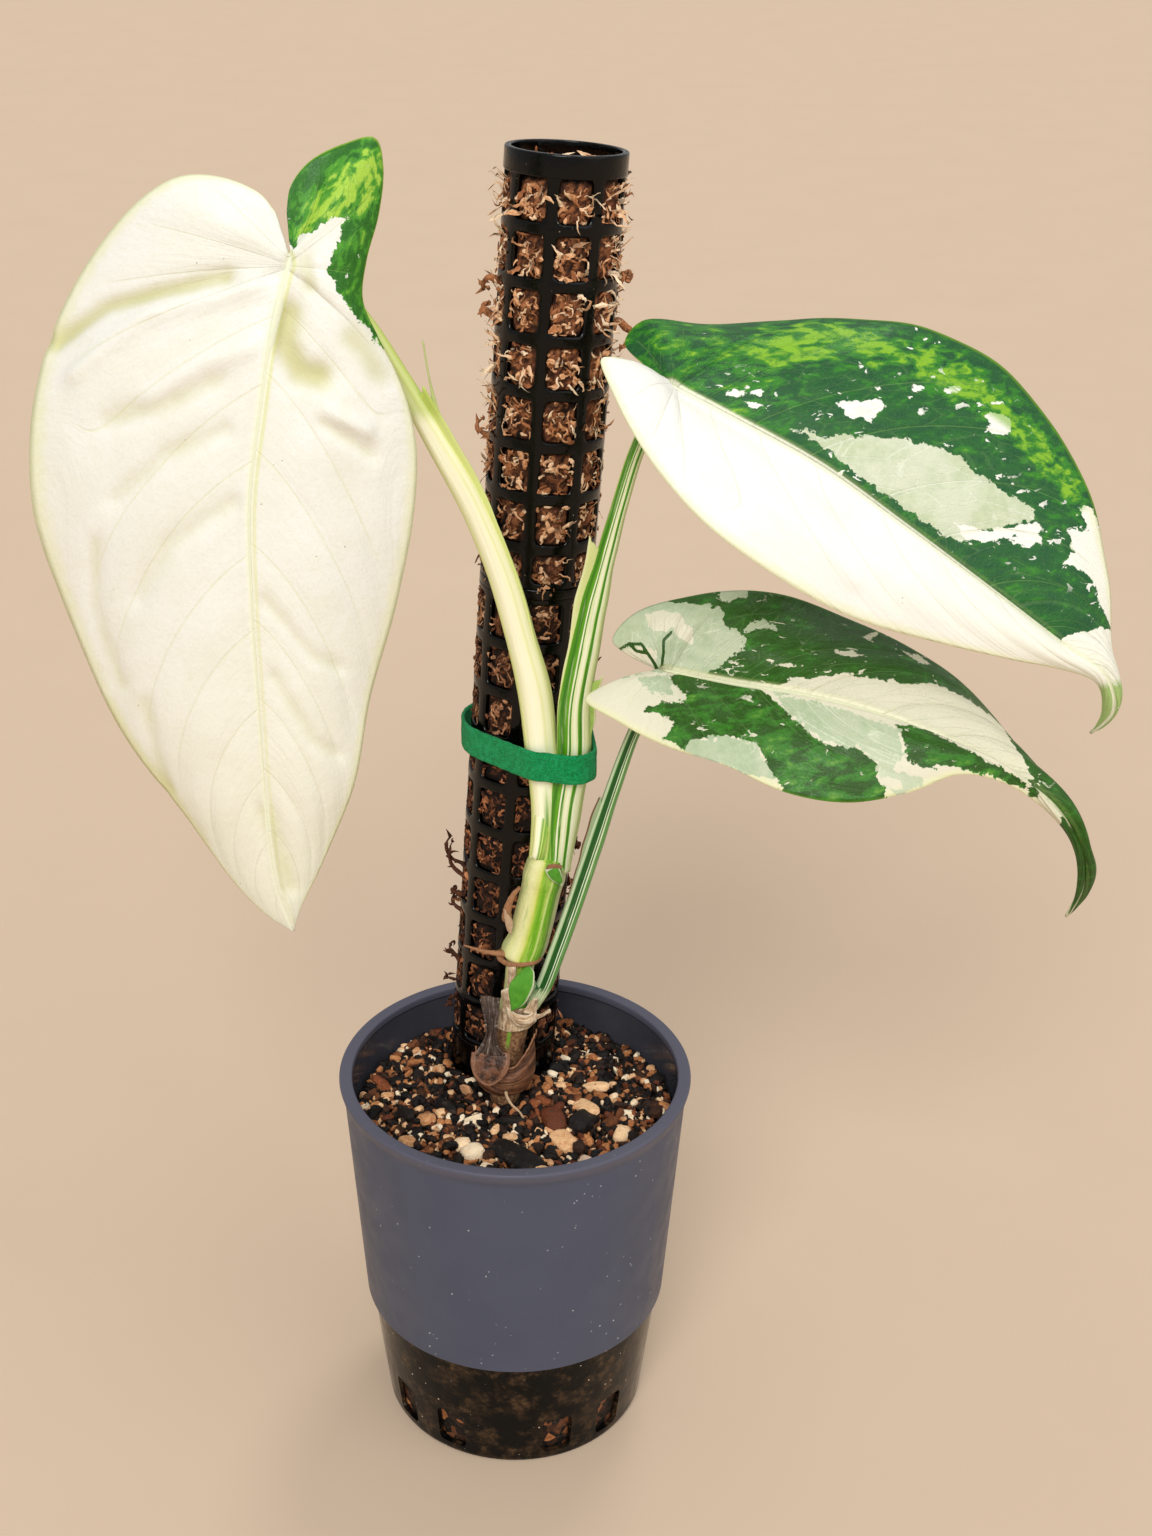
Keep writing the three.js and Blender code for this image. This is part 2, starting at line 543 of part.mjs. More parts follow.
function stem(grown) {
  return stemLimb(grown)
    .add(sprout([[1, 3, 173], [-5, 1, 176], [-11, 1, 178], [-17, 2, 181]], 1.6, 0.7, grown))
    .add(sprout([[0.5, 1, 153], [1.6, -1.2, 159], [4, -1.2, 169]], 3.2, 1.6, grown))
    .add(sprout([[-2, 0, 127], [-1, -6, 123.6], [2, -9, 122.8], [4, -14, 122.2]], 1, 0.7, grown));
}

// A stalk with its sheath wings, which are thin sheets rooted in its flanks, and the sheath's free tip.
function stalk({ path, across, deep, wings, tip }, grown) {
  const line = curve(path);
  const wide = (share) => profile(across, share) + grown;
  const thick = (share) => profile(deep, share) + grown;
  let body = solid(limb(line, 22, 8, wide, thick));
  for (const wing of wings) {
    const grid = [];
    for (let i = 0; i <= 12; i++) {
      const share = THREE.MathUtils.lerp(wing.from, wing.to, i / 12);
      const { middle, onward, right, front } = frameAt(line, share);
      const angle = radians(wing.angle);
      const reach = profile(wing.height, i / 12);
      const lift = wing.lift * THREE.MathUtils.smoothstep(i / 12, 0.7, 1);
      const row = [0.45, 0.8, 1].map((k) => {
        const far = k < 1 ? k : 1 + reach / profile(across, share);
        const raised = k < 0.5 ? 0 : lift * (k === 1 ? 1 : 0.5);
        return middle.clone()
          .addScaledVector(right, Math.cos(angle) * far * profile(across, share))
          .addScaledVector(front, Math.sin(angle) * far * profile(deep, share))
          .addScaledVector(onward, raised);
      });
      grid.push(row);
    }
    body = body.add(solid(sheet(grid, BLADE_THICKNESS + 2 * grown)));
  }
  return tip ? body.add(sprout(tip, 1.3, 0.5, grown)) : body;
}

// A point of a blade's mid surface. Row runs from the notch round the lobes to the tip, and across from the
// midrib to the edge; rows follow the side veins, so those of the lobes fan out from the stalk.
function bladePoint(blade, side, row, across) {
  const lobe = blade.lobe[side];
  const onLobe = row < LOBE_SHARE;
  const onward = Math.max(0, (row - LOBE_SHARE) / (1 - LOBE_SHARE));
  const alongRib = onLobe ? 0.05 * row : 0.05 * LOBE_SHARE + (1 - 0.05 * LOBE_SHARE) * onward ** 1.1;
  const alongEdge = onLobe ? (lobe * row) / LOBE_SHARE : lobe + (1 - lobe) * onward;
  const rib = blade.curves.midrib.getPointAt(Math.min(1, alongRib));
  const edge = blade.curves[side].getPointAt(Math.min(1, alongEdge));
  const way = blade.curves.midrib.getTangentAt(Math.min(1, alongRib));
  const outward = edge.clone().sub(rib);
  const face = way.cross(outward.clone().normalize()).multiplyScalar(side === "left" ? -1 : 1).normalize();
  const fade = THREE.MathUtils.smoothstep(1 - row, 0, 0.25) * THREE.MathUtils.smoothstep(row, 0, 0.12);
  const lift = fade * (blade.bulge[side] * Math.sin(Math.PI * across)
    + blade.wave.height * across ** 3 * Math.sin(2 * Math.PI * blade.wave.count * row));
  return rib.addScaledVector(outward, across).addScaledVector(face, lift);
}

function bladeSheet(name, thickness) {
  const blade = BLADES[name];
  blade.curves = { midrib: curve(blade.midrib), left: curve(blade.left), right: curve(blade.right) };
  const grid = [];
  for (let i = 0; i <= BLADE_ROWS; i++) {
    const row = [];
    for (let j = -BLADE_COLUMNS; j <= BLADE_COLUMNS; j++) {
      row.push(bladePoint(blade, j < 0 ? "left" : "right", i / BLADE_ROWS, Math.abs(j) / BLADE_COLUMNS));
    }
    grid.push(row);
  }
  return sheet(grid, thickness);
}

// A papery sheath round the stem: rows of [height, start angle, end angle, distance from the stem's middle].
function stemSheath(rows, columns) {
  const places = stemPath.getSpacedPoints(200);
  const grid = rows.map(([height, from, to, away]) => {
    const middle = places.find((p) => p.z >= height);
    const row = [];
    for (let j = 0; j <= columns; j++) {
      const angle = radians(THREE.MathUtils.lerp(from, to, j / columns));
      row.push(new THREE.Vector3(middle.x + away * Math.cos(angle), middle.y + away * Math.sin(angle), height));
    }
    return row;
  });
  return solid(sheet(grid, BLADE_THICKNESS));
}

function drySheath() {
  return stemSheath([[123.4, -200, 20, 7.4], [126, -200, 18, 8.4], [130, -200, 15, 9.4], [135, -200, 5, 9.8],
    [139, -200, -60, 9.2], [144, -192, -128, 8.2], [150, -188, -142, 8.2], [156, -184, -150, 8.8],
    [160, -180, -160, 9.6]], 10);
}

function tornSheath() {
  return stemSheath([[146, -118, 40, 7], [150, -122, 35, 7.4], [154, -125, 25, 7.9], [157, -120, 5, 8.6]], 9);
}

// The strap's outline: the outline drawn tight round the pole and the two stalks that it holds.
function wrapOutline(circles, clearance) {
  const points = [];
  for (const { x, y, radius } of circles) {
    for (let k = 0; k < 40; k++) {
      const angle = (2 * Math.PI * k) / 40;
      points.push([x + (radius + clearance) * Math.cos(angle), y + (radius + clearance) * Math.sin(angle)]);
    }
  }
  points.sort((a, b) => a[0] - b[0] || a[1] - b[1]);
  const turn = (o, a, b) => (a[0] - o[0]) * (b[1] - o[1]) - (a[1] - o[1]) * (b[0] - o[0]);
  const chain = (list) => {
    const kept = [];
    for (const p of list) {
      while (kept.length > 1 && turn(kept.at(-2), kept.at(-1), p) <= 0) kept.pop();
      kept.push(p);
    }
    return kept.slice(0, -1);
  };
  return [...chain(points), ...chain(points.reverse())];
}

// The round that a stalk fills at a level, with room for its wings.
function stalkRound({ path, across }, level, room) {
  const places = curve(path).getSpacedPoints(200);
  const near = places.findIndex((p) => p.z >= level);
  return { x: places[near].x, y: places[near].y, radius: profile(across, near / 200) + room };
}

function tie() {
  const level = STRAP.centre[2];
  const share = (level - POLE_FOOT[2]) / (POLE_TOP[2] - POLE_FOOT[2]);
  const pole = {
    x: THREE.MathUtils.lerp(POLE_FOOT[0], POLE_TOP[0], share),
    y: THREE.MathUtils.lerp(POLE_FOOT[1], POLE_TOP[1], share),
    radius: POLE_RADIUS + 1.6,
  };
  const circles = [pole, stalkRound(STALKS.petiole_left, level, 1.2), stalkRound(STALKS.petiole_upper, level, 0.9)];
  const local = circles.map(({ x, y, radius }) => ({ x: x - STRAP.centre[0], y: y - STRAP.centre[1], radius }));
  const inside = wrapOutline(local, GAP);
  const outside = wrapOutline(local, GAP + STRAP.thickness);
  const shape = new THREE.Shape(outside.map(([x, y]) => new THREE.Vector2(x, y)));
  shape.holes.push(new THREE.Path(inside.map(([x, y]) => new THREE.Vector2(x, y))));
  const geometry = new THREE.ExtrudeGeometry(shape, { depth: STRAP.height, bevelEnabled: false });
  geometry.translate(0, 0, -STRAP.height / 2);
  return geometry.rotateX(radians(STRAP.tilt)).translate(...STRAP.centre);
}

const plant = new THREE.Group();
const poleGroup = new THREE.Group();
poleGroup.position.copy(vector(POLE_FOOT));
poleGroup.quaternion.copy(poleTurn);
plant.add(poleGroup);

function place(name, shape, group = plant) {
  const [colour, roughness] = COLOURS[name];
  const geometry = shape.isBufferGeometry ? closedGeometry(shape) : geometryOf(shape);
  const material = new THREE.MeshStandardMaterial({ color: colour, roughness, metalness: 0 });
  const mesh = new THREE.Mesh(geometry, material);
  mesh.name = name;
  group.add(mesh);
}

place("pot_sleeve", potSleeve());
place("inner_pot", innerPot());
place("soil", soil());
place("pole_mesh_lower", poleLower(), poleGroup);
place("pole_mesh_upper", poleUpper(), poleGroup);
place("coir_core", coirCore(), poleGroup);

// Each piece of the plant is cut clear of the ones that it clasps.
place("stem", stem(0));
for (const name of Object.keys(BLADES)) place(name, bladeSheet(name, BLADE_THICKNESS));
const grownStem = stem(GAP);
const grownLeft = stalk(STALKS.petiole_left, GAP);
const clearOf = (body, list) => largest(list.reduce((rest, cutter) => rest.subtract(cutter), body));
const cutters = {
  petiole_left: [grownStem, "leaf_left"],
  petiole_upper: [grownStem, grownLeft, "leaf_upper"],
  petiole_lower: [grownStem, stalk(STALKS.petiole_upper, GAP), "leaf_lower"],
};
for (const [name, list] of Object.entries(cutters)) {
  const bodies = list.map((item) => (typeof item === "string"
    ? solid(bladeSheet(item, BLADE_THICKNESS + 2 * GAP)) : item));
  place(name, clearOf(stalk(STALKS[name], 0), bodies));
}
const sheathCutters = [grownStem, stalk(STALKS.petiole_lower, GAP)];
place("dry_sheath", clearOf(drySheath(), sheathCutters));
place("torn_sheath", clearOf(tornSheath(), sheathCutters));
place("tie", tie());

export default plant;
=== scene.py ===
"""The potted variegated climber on its coir pole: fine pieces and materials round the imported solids.

Lengths in this script are millimetres, as in the part's source, and turn into metres when a mesh is made.
"""

import math

import bmesh
import bpy
import numpy as np
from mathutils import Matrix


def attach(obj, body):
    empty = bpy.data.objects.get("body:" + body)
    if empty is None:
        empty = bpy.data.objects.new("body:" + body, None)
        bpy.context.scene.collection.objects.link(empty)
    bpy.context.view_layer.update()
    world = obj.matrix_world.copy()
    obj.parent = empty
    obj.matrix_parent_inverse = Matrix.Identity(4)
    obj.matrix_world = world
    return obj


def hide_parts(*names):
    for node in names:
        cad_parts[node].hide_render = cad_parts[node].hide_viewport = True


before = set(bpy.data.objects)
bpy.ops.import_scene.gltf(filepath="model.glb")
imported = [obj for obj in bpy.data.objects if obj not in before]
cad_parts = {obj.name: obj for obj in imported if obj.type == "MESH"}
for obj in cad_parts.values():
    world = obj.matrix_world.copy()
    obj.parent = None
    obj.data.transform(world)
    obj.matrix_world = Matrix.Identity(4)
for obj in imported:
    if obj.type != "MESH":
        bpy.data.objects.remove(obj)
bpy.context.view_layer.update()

METRES = 0.001

# Camera, light and floor. The camera's numbers are pixels of the photo's frame: its focal length, and the
# column that the pot's axis stands in.

VIEW_TILT = math.radians(25.9)
FRAME_WIDTH = 1152.0
FRAME_HEIGHT = 1536.0
FOCAL_LENGTH = 2000.0
POT_COLUMN = 515.0

camera_data = bpy.data.cameras.new("photo_camera")
camera_data.sensor_width = 36.0
camera_data.lens = camera_data.sensor_width * FOCAL_LENGTH / FRAME_HEIGHT
camera_data.shift_x = (FRAME_WIDTH / 2 - POT_COLUMN) / FRAME_HEIGHT
camera_data.clip_start = 0.01
camera = bpy.data.objects.new("photo_camera", camera_data)
camera.location = (0.0, -0.570, 0.5246)
camera.rotation_euler = (math.pi / 2 - VIEW_TILT, 0.0, 0.0)
bpy.context.scene.collection.objects.link(camera)
bpy.context.scene.camera = camera
bpy.context.scene.view_settings.view_transform = "Standard"


def rgb(red, green, blue):
    """An sRGB colour of 0 to 255 as the linear colour that the nodes take."""
    values = []
    for part in (red, green, blue):
        c = part / 255.0
        values.append(c / 12.92 if c <= 0.04045 else ((c + 0.055) / 1.055) ** 2.4)
    return (*values, 1.0)


def sun(name, way, strength, angle, colour):
    """A soft distant light that shines from that way."""
    data = bpy.data.lights.new(name, "SUN")
    data.energy = strength
    data.angle = math.radians(angle)
    data.color = colour
    lamp = bpy.data.objects.new(name, data)
    x, y, z = np.array(way) / np.linalg.norm(way)
    lamp.rotation_euler = (math.acos(z), 0.0, math.atan2(x, -y))
    lamp.location = (way[0], way[1], way[2])
    bpy.context.scene.collection.objects.link(lamp)


sun("key", (-0.2, -1.1, 0.92), 2.0, 30.0, (1.0, 0.99, 0.975))
sun("fill", (1.0, -0.75, 0.7), 0.7, 60.0, (0.98, 0.99, 1.0))
sun("back", (0.25, 0.5, 1.2), 0.5, 14.0, (1.0, 0.99, 0.97))

world = bpy.data.worlds.new("studio")
world.use_nodes = True
world.node_tree.nodes["Background"].inputs["Color"].default_value = (1.0, 0.99, 0.975, 1.0)
world.node_tree.nodes["Background"].inputs["Strength"].default_value = 0.47
bpy.context.scene.world = world


# Node materials.

class Paint:
    """A node material in the making. Its coordinates are millimetres in the part's frame."""

    def __init__(self, name, **plain):
        self.material = bpy.data.materials.new(name)
        self.material.use_nodes = True
        self.tree = self.material.node_tree
        self.shader = self.tree.nodes["Principled BSDF"]
        for socket, value in plain.items():
            self.shader.inputs[socket.replace("_", " ")].default_value = value
        place = self.node("ShaderNodeTexCoord").outputs["Object"]
        self.place = self.scaled(place, (1000.0, 1000.0, 1000.0))

    def node(self, kind, **settings):
        made = self.tree.nodes.new(kind)
        for key, value in settings.items():
            setattr(made, key, value)
        return made

    def put(self, socket, value):
        if isinstance(value, bpy.types.NodeSocket):
            self.tree.links.new(value, socket)
        else:
            socket.default_value = value

    def scaled(self, vector, factors):
        made = self.node("ShaderNodeVectorMath", operation="MULTIPLY")
        self.put(made.inputs[0], vector)
        self.put(made.inputs[1], factors)
        return made.outputs[0]

    def axis(self, index, vector=None):
        """One coordinate of the place, or of another vector: 0 for X, 1 for Y, 2 for Z."""
        split = self.node("ShaderNodeSeparateXYZ")
        self.put(split.inputs[0], self.place if vector is None else vector)
        return split.outputs[index]

    def value(self, name):
        return self.node("ShaderNodeAttribute", attribute_name=name).outputs["Fac"]

    def vector(self, name, factors=(1.0, 1.0, 1.0)):
        return self.scaled(self.node("ShaderNodeAttribute", attribute_name=name).outputs["Vector"], factors)

    def math(self, operation, *values):
        made = self.node("ShaderNodeMath", operation=operation)
        for socket, value in zip(made.inputs, values):
            self.put(socket, value)
        return made.outputs[0]

    def plus(self, first, second):
        return self.math("ADD", first, second)

    def minus(self, first, second):
        return self.math("SUBTRACT", first, second)

    def times(self, first, second):
        return self.math("MULTIPLY", first, second)

    def most(self, first, second):
        return self.math("MAXIMUM", first, second)

    def line(self, value, slope, start):
        return self.math("MULTIPLY_ADD", value, slope, start)

    def sway(self, noise, width):
        """Turns a noise round 0.5 into a swing round 0, that wide from end to end."""
        return self.line(noise, width, -width / 2)

    def rise(self, value, low, high, bottom=0.0, top=1.0):
        """A smooth step: bottom below low, top above high."""
        made = self.node("ShaderNodeMapRange", interpolation_type="SMOOTHSTEP")
        for key, item in (("Value", value), ("From Min", low), ("From Max", high), ("To Min", bottom),
                          ("To Max", top)):
            self.put(made.inputs[key], item)
        return made.outputs["Result"]

    def noise(self, size, detail=3.0, vector=None, rough=0.55, warp=0.0):
        """Noise round 0.5 with features of about that size."""
        made = self.node("ShaderNodeTexNoise")
        self.put(made.inputs["Vector"], vector if vector is not None else self.place)
        settings = {"Scale": 1.0 / size, "Detail": detail, "Roughness": rough, "Distortion": warp}
        for key, item in settings.items():
            self.put(made.inputs[key], item)
        return made.outputs["Fac"]

    def cells(self, size, vector=None, feature="F1", output="Distance"):
        made = self.node("ShaderNodeTexVoronoi", feature=feature)
        self.put(made.inputs["Vector"], vector if vector is not None else self.place)
        self.put(made.inputs["Scale"], 1.0 / size)
        return made.outputs[output]

    def mix(self, share, first, second, blend="MIX"):
        made = self.node("ShaderNodeMix", data_type="RGBA", blend_type=blend)
        self.put(made.inputs[0], share)
        self.put(made.inputs[6], first)
        self.put(made.inputs[7], second)
        return made.outputs[2]

    def ramp(self, value, stops, step=False):
        made = self.node("ShaderNodeValToRGB")
        if step:
            made.color_ramp.interpolation = "CONSTANT"
        elements = made.color_ramp.elements
        while len(elements) < len(stops):
            elements.new(0.5)
        for element, (at, colour) in zip(elements, stops):
            element.position = at
            element.color = colour
        self.put(made.inputs["Fac"], value)
        return made.outputs["Color"]

    def bump(self, height, deep, before=None):
        """A bump whose height runs from 0 to 1 over that many millimetres."""
        made = self.node("ShaderNodeBump")
        made.inputs["Strength"].default_value = 1.0
        made.inputs["Distance"].default_value = deep * METRES
        self.put(made.inputs["Height"], height)
        if before is not None:
            self.put(made.inputs["Normal"], before)
        return made.outputs["Normal"]

    def done(self, colour, normal=None, rough=None):
        self.put(self.shader.inputs["Base Color"], colour)
        if normal is not None:
            self.put(self.shader.inputs["Normal"], normal)
        if rough is not None:
            self.put(self.shader.inputs["Roughness"], rough)
        return self.material


# Mesh helpers.

def make_piece(name, points, faces, material, node, slot, values=None, sharp=None, weld=False):
    """Makes one object of millimetre points, with float or vector values at its points."""
    mesh = bpy.data.meshes.new(name)
    mesh.from_pydata((np.asarray(points) * METRES).tolist(), [], [list(map(int, face)) for face in faces])
    for key, item in (values or {}).items():
        item = np.asarray(item, np.float32)
        if item.ndim == 1:
            mesh.attributes.new(key, "FLOAT", "POINT").data.foreach_set("value", item)
        else:
            mesh.attributes.new(key, "FLOAT_VECTOR", "POINT").data.foreach_set("vector", item.ravel())
    if weld:
        grown = bmesh.new()
        grown.from_mesh(mesh)
        bmesh.ops.remove_doubles(grown, verts=grown.verts, dist=2e-6)
        bmesh.ops.recalc_face_normals(grown, faces=grown.faces)
        grown.to_mesh(mesh)
        grown.free()
    mesh.shade_smooth()
    if sharp is not None:
        mesh.set_sharp_from_angle(angle=math.radians(sharp))
    mesh.materials.append(material)
    piece = bpy.data.objects.new(name, mesh)
    bpy.context.scene.collection.objects.link(piece)
    if node:
        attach(piece, "root")
        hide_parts(node)
    return piece


def unit(vectors):
    return vectors / np.maximum(np.linalg.norm(vectors, axis=-1, keepdims=True), 1e-9)


def smooth(value, low, high):
    t = np.clip((value - low) / (high - low), 0.0, 1.0)
    return t * t * (3.0 - 2.0 * t)


class Curve:
    """A centripetal Catmull-Rom curve through the points, read by its share of length."""

    def __init__(self, points, samples=60):
        given = np.array(points, float)
        ends = np.vstack([2 * given[0] - given[1], given, 2 * given[-1] - given[-2]])
        runs = []
        for i in range(len(given) - 1):
            a, b, c, d = ends[i:i + 4]
            before, here, after = (np.sum((q - p) ** 2) ** 0.25 for p, q in ((a, b), (b, c), (c, d)))
            start = ((b - a) / before - (c - a) / (before + here) + (c - b) / here) * here
            stop = ((c - b) / here - (d - b) / (here + after) + (d - c) / after) * here
            t = np.linspace(0.0, 1.0, samples, endpoint=i == len(given) - 2)[:, None]
            squared = 3 * (c - b) - 2 * start - stop
            cubed = 2 * (b - c) + start + stop
            runs.append(b + start * t + squared * t ** 2 + cubed * t ** 3)
        self.points = np.vstack(runs)
        steps = np.linalg.norm(np.diff(self.points, axis=0), axis=1)
        self.shares = np.concatenate([[0.0], np.cumsum(steps)])
        self.length = self.shares[-1]
        self.shares /= self.length
        self.ways = unit(np.gradient(self.points, axis=0))

    def at(self, share):
        return np.stack([np.interp(share, self.shares, self.points[:, k]) for k in range(3)], -1)

    def way(self, share):
        return unit(np.stack([np.interp(share, self.shares, self.ways[:, k]) for k in range(3)], -1))


def xyz(x, y, z):
    """Three arrays of like or repeating shapes as one array of points."""
    return np.stack(np.broadcast_arrays(x, y, z), -1)


def around(away, turn, height):
    """Points at that distance from the Z axis, turn and height."""
    return xyz(away * np.cos(turn), away * np.sin(turn), height)


def full_turn(count):
    return np.linspace(0.0, 2 * np.pi, count, endpoint=False)


def profile(pairs, place):
    """Reads a list of (place, size) pairs as a smooth function of the place."""
    place = np.asarray(place, float)
    value = np.full(place.shape, float(pairs[0][1]))
    for (low, first), (high, second) in zip(pairs, pairs[1:]):
        value = np.where(place > low, first + (second - first) * smooth(place, low, high), value)
    return value


def ripple(seed, *axes, count=5, wave=1.0):
    """A smooth seeded wobble round 0 over arrays of the same shape."""
    pick = np.random.default_rng(seed)
    total = np.zeros(np.broadcast(*axes).shape)
    for _ in range(count):
        angle = pick.uniform(0, 2 * np.pi)
        for axis in axes:
            angle = angle + axis * pick.uniform(-2.2, 2.2) * wave
        total = total + np.sin(angle)
    return total / count


def grid_faces(rows, columns, start=0, wrap=False, flip=False):
    i = np.arange(rows - 1)[:, None]
    j = np.arange(columns if wrap else columns - 1)[None, :]
    a = i * columns + j
    b = i * columns + (j + 1) % columns
    faces = np.stack([a, a + columns, b + columns, b] if flip else [a, b, b + columns, a + columns], -1)
    return (faces.reshape(-1, 4) + start).tolist()


class Parts:
    """Collects grids of points with their values into one mesh."""

    def __init__(self):
        self.points = []
        self.faces = []
        self.values = {}
        self.count = 0

    def add(self, points, faces, **values):
        points = np.asarray(points, float).reshape(-1, 3)
        self.points.append(points)
        self.faces.extend([[k + self.count for k in face] for face in faces])
        for key, item in values.items():
            item = np.asarray(item, float)
            if item.ndim == 0:
                item = np.full(len(points), float(item))
            self.values.setdefault(key, []).append(item.reshape(len(points), *item.shape[item.ndim - 1:])
                                                   if item.size == 3 * len(points) else item.reshape(-1))
        self.count += len(points)

    def make(self, name, material, node, slot, **options):
        values = {key: np.concatenate(items) for key, items in self.values.items()}
        points = np.concatenate(self.points)
        return make_piece(name, points, self.faces, material, node, slot, values, **options)


def sheet(parts, grid, thickness, normals=None, **values):
    """Adds a thin closed sheet. Its thickness and values may change from point to point."""
    rows, columns = grid.shape[:2]
    if normals is None:
        normals = unit(np.cross(np.gradient(grid, axis=0), np.gradient(grid, axis=1)))
    half = np.broadcast_to(np.asarray(thickness, float), (rows, columns))[..., None] / 2
    points = np.concatenate([(grid + normals * half).reshape(-1, 3), (grid - normals * half).reshape(-1, 3)])
    under = rows * columns
    faces = grid_faces(rows, columns, flip=True) + grid_faces(rows, columns, start=under)
    border = [(0, j) for j in range(columns - 1)] + [(i, columns - 1) for i in range(rows - 1)]
    border += [(rows - 1, j) for j in range(columns - 1, 0, -1)] + [(i, 0) for i in range(rows - 1, 0, -1)]
    border = [i * columns + j for i, j in border]
    faces += [[a, b, b + under, a + under] for a, b in zip(border, border[1:] + border[:1])]
    doubled = {}
    for key, item in values.items():
        item = np.asarray(item, float)
        if item.ndim == 3:
            doubled[key] = np.concatenate([item.reshape(-1, 3)] * 2)
        else:
            doubled[key] = np.tile(np.broadcast_to(item, (rows, columns)).reshape(-1), 2)
    doubled["under"] = np.repeat([0.0, 1.0], under)
    parts.add(points, faces, **doubled)


def limb(parts, path, steps, sides, wide, thick, relief=None, **values):
    """Adds a closed limb along a curve with an oval section, and its turn and run as the value "round"."""
    share = np.linspace(0.0, 1.0, steps + 1)
    angle = full_turn(sides)
    onward = path.way(share)
    right = unit(np.cross(onward, [0.0, -1.0, 0.0]))
    front = unit(np.cross(right, onward))
    wide = np.broadcast_to(wide(share) if callable(wide) else wide, share.shape)
    thick = np.broadcast_to(thick(share) if callable(thick) else thick, share.shape)
    grown = 1.0 if relief is None else 1.0 + relief(share[:, None], angle[None, :])[..., None]
    ring = ((np.cos(angle) * wide[:, None])[..., None] * right[:, None]
            + (np.sin(angle) * thick[:, None])[..., None] * front[:, None])
    points = path.at(share)[:, None] + ring * grown
    run = np.broadcast_to(share[:, None] * path.length, points.shape[:2])
    turned = around(1.0, angle, run)
    faces = grid_faces(steps + 1, sides, wrap=True)
    faces += [list(range(sides))[::-1], list(range(steps * sides, (steps + 1) * sides))]
    parts.add(points, faces, round=turned.reshape(-1, 3), **values)


def lathe(profile_points, sides):
    """Points and faces of a closed profile turned round Z."""
    given = np.array(profile_points, float)
    points = around(given[:, 0, None], full_turn(sides), given[:, 1, None])
    return points, grid_faces(len(given), sides, wrap=True)


def rounded(points, radius, steps=5):
    """A closed outline of (x, y) points with its corners rounded."""
    given = np.array(points, float)
    made = []
    for a, b, c in zip(np.roll(given, 1, 0), given, np.roll(given, -1, 0)):
        reach = min(radius, 0.45 * np.linalg.norm(a - b), 0.45 * np.linalg.norm(c - b))
        start = b + unit(a - b) * reach
        stop = b + unit(c - b) * reach
        for t in np.linspace(0.0, 1.0, steps):
            made.append((1 - t) ** 2 * start + 2 * t * (1 - t) * b + t ** 2 * stop)
    return np.array(made + made[:1])


floor_paint = Paint("backdrop", Roughness=1.0, Specular_IOR_Level=0.0)
floor_tone = floor_paint.mix(floor_paint.noise(90.0, 4.0), rgb(207, 184, 160), rgb(211, 188, 164))
make_piece("backdrop", np.array([[-6000, -6000, 0], [6000, -6000, 0], [6000, 9000, 0], [-6000, 9000, 0]]),
           [[0, 1, 2, 3]], floor_paint.done(floor_tone), None, None)

# The pot.

GAP = 0.3
POT_HEIGHT = 134.0
LIP_RADIUS = 60.0
SLEEVE_BOTTOM = 47.0
LIP_HEIGHT = 3.0
WALL = 1.3
FLOOR = 2.0


def sleeve_radius(z):
    return 52.9 + (z - SLEEVE_BOTTOM) / (POT_HEIGHT - LIP_HEIGHT - SLEEVE_BOTTOM) * (58.6 - 52.9)


def pot_radius(z):
    return sleeve_radius(z) - WALL - GAP - 2.2 * np.maximum(0.0, 1.0 - np.asarray(z) / SLEEVE_BOTTOM)


def sleeve_paint():
    p = Paint("sleeve_plastic", Roughness=0.42, Specular_IOR_Level=0.15)
    speck = p.rise(p.plus(p.cells(2.6), p.sway(p.noise(0.6, 2.0), 0.3)), 0.12, 0.07)
    sparse = p.rise(p.noise(8.0), 0.55, 0.60)
    cloud = p.noise(26.0, 4.0)
    colour = p.mix(cloud, rgb(71, 75, 91), rgb(81, 85, 101))
    colour = p.mix(p.times(p.times(speck, sparse), 0.85), colour, rgb(206, 206, 208))
    streak = p.noise(1.6, 3.0, p.scaled(p.place, (1.0, 1.0, 0.12)))
    colour = p.mix(p.rise(streak, 0.66, 0.8, 0.0, 0.2), colour, rgb(112, 112, 122))
    # painted highlight: the lip above 129.5 mm is painted a lighter grey along the rim
    colour = p.mix(p.rise(p.axis(2), 129.5, 131.5, 0.0, 0.8), colour, rgb(88, 87, 100))
    grain = p.noise(0.6, 2.0)
    return p.done(colour, p.bump(grain, 0.02), p.rise(p.noise(9.0), 0.3, 0.7, 0.36, 0.48))


def make_sleeve():
    under = POT_HEIGHT - LIP_HEIGHT
    inside = pot_radius(under) - WALL - 0.2
    outline = [
        (sleeve_radius(SLEEVE_BOTTOM) - WALL, SLEEVE_BOTTOM), (sleeve_radius(SLEEVE_BOTTOM), SLEEVE_BOTTOM),
        (sleeve_radius(under - 2.5), under - 2.5), (LIP_RADIUS - 0.5, under + 0.2), (LIP_RADIUS, under + 2.2),
        (LIP_RADIUS - 0.4, POT_HEIGHT), (inside, POT_HEIGHT),
        (inside, under), (sleeve_radius(under) - WALL, under),
    ]
    parts = Parts()
    points, faces = lathe(rounded(outline, 0.8), 180)
    parts.add(points, faces)
    parts.make("fine_pot_sleeve", sleeve_paint(), "pot_sleeve", "pot_sleeve", sharp=50)


def square_loop(segments):
    """Points round a square from -1 to 1."""
    run = np.linspace(-1.0, 1.0, segments, endpoint=False)
    one = np.ones(segments)
    return np.concatenate([run, one, -run, -one]), np.concatenate([-one, run, one, -run])


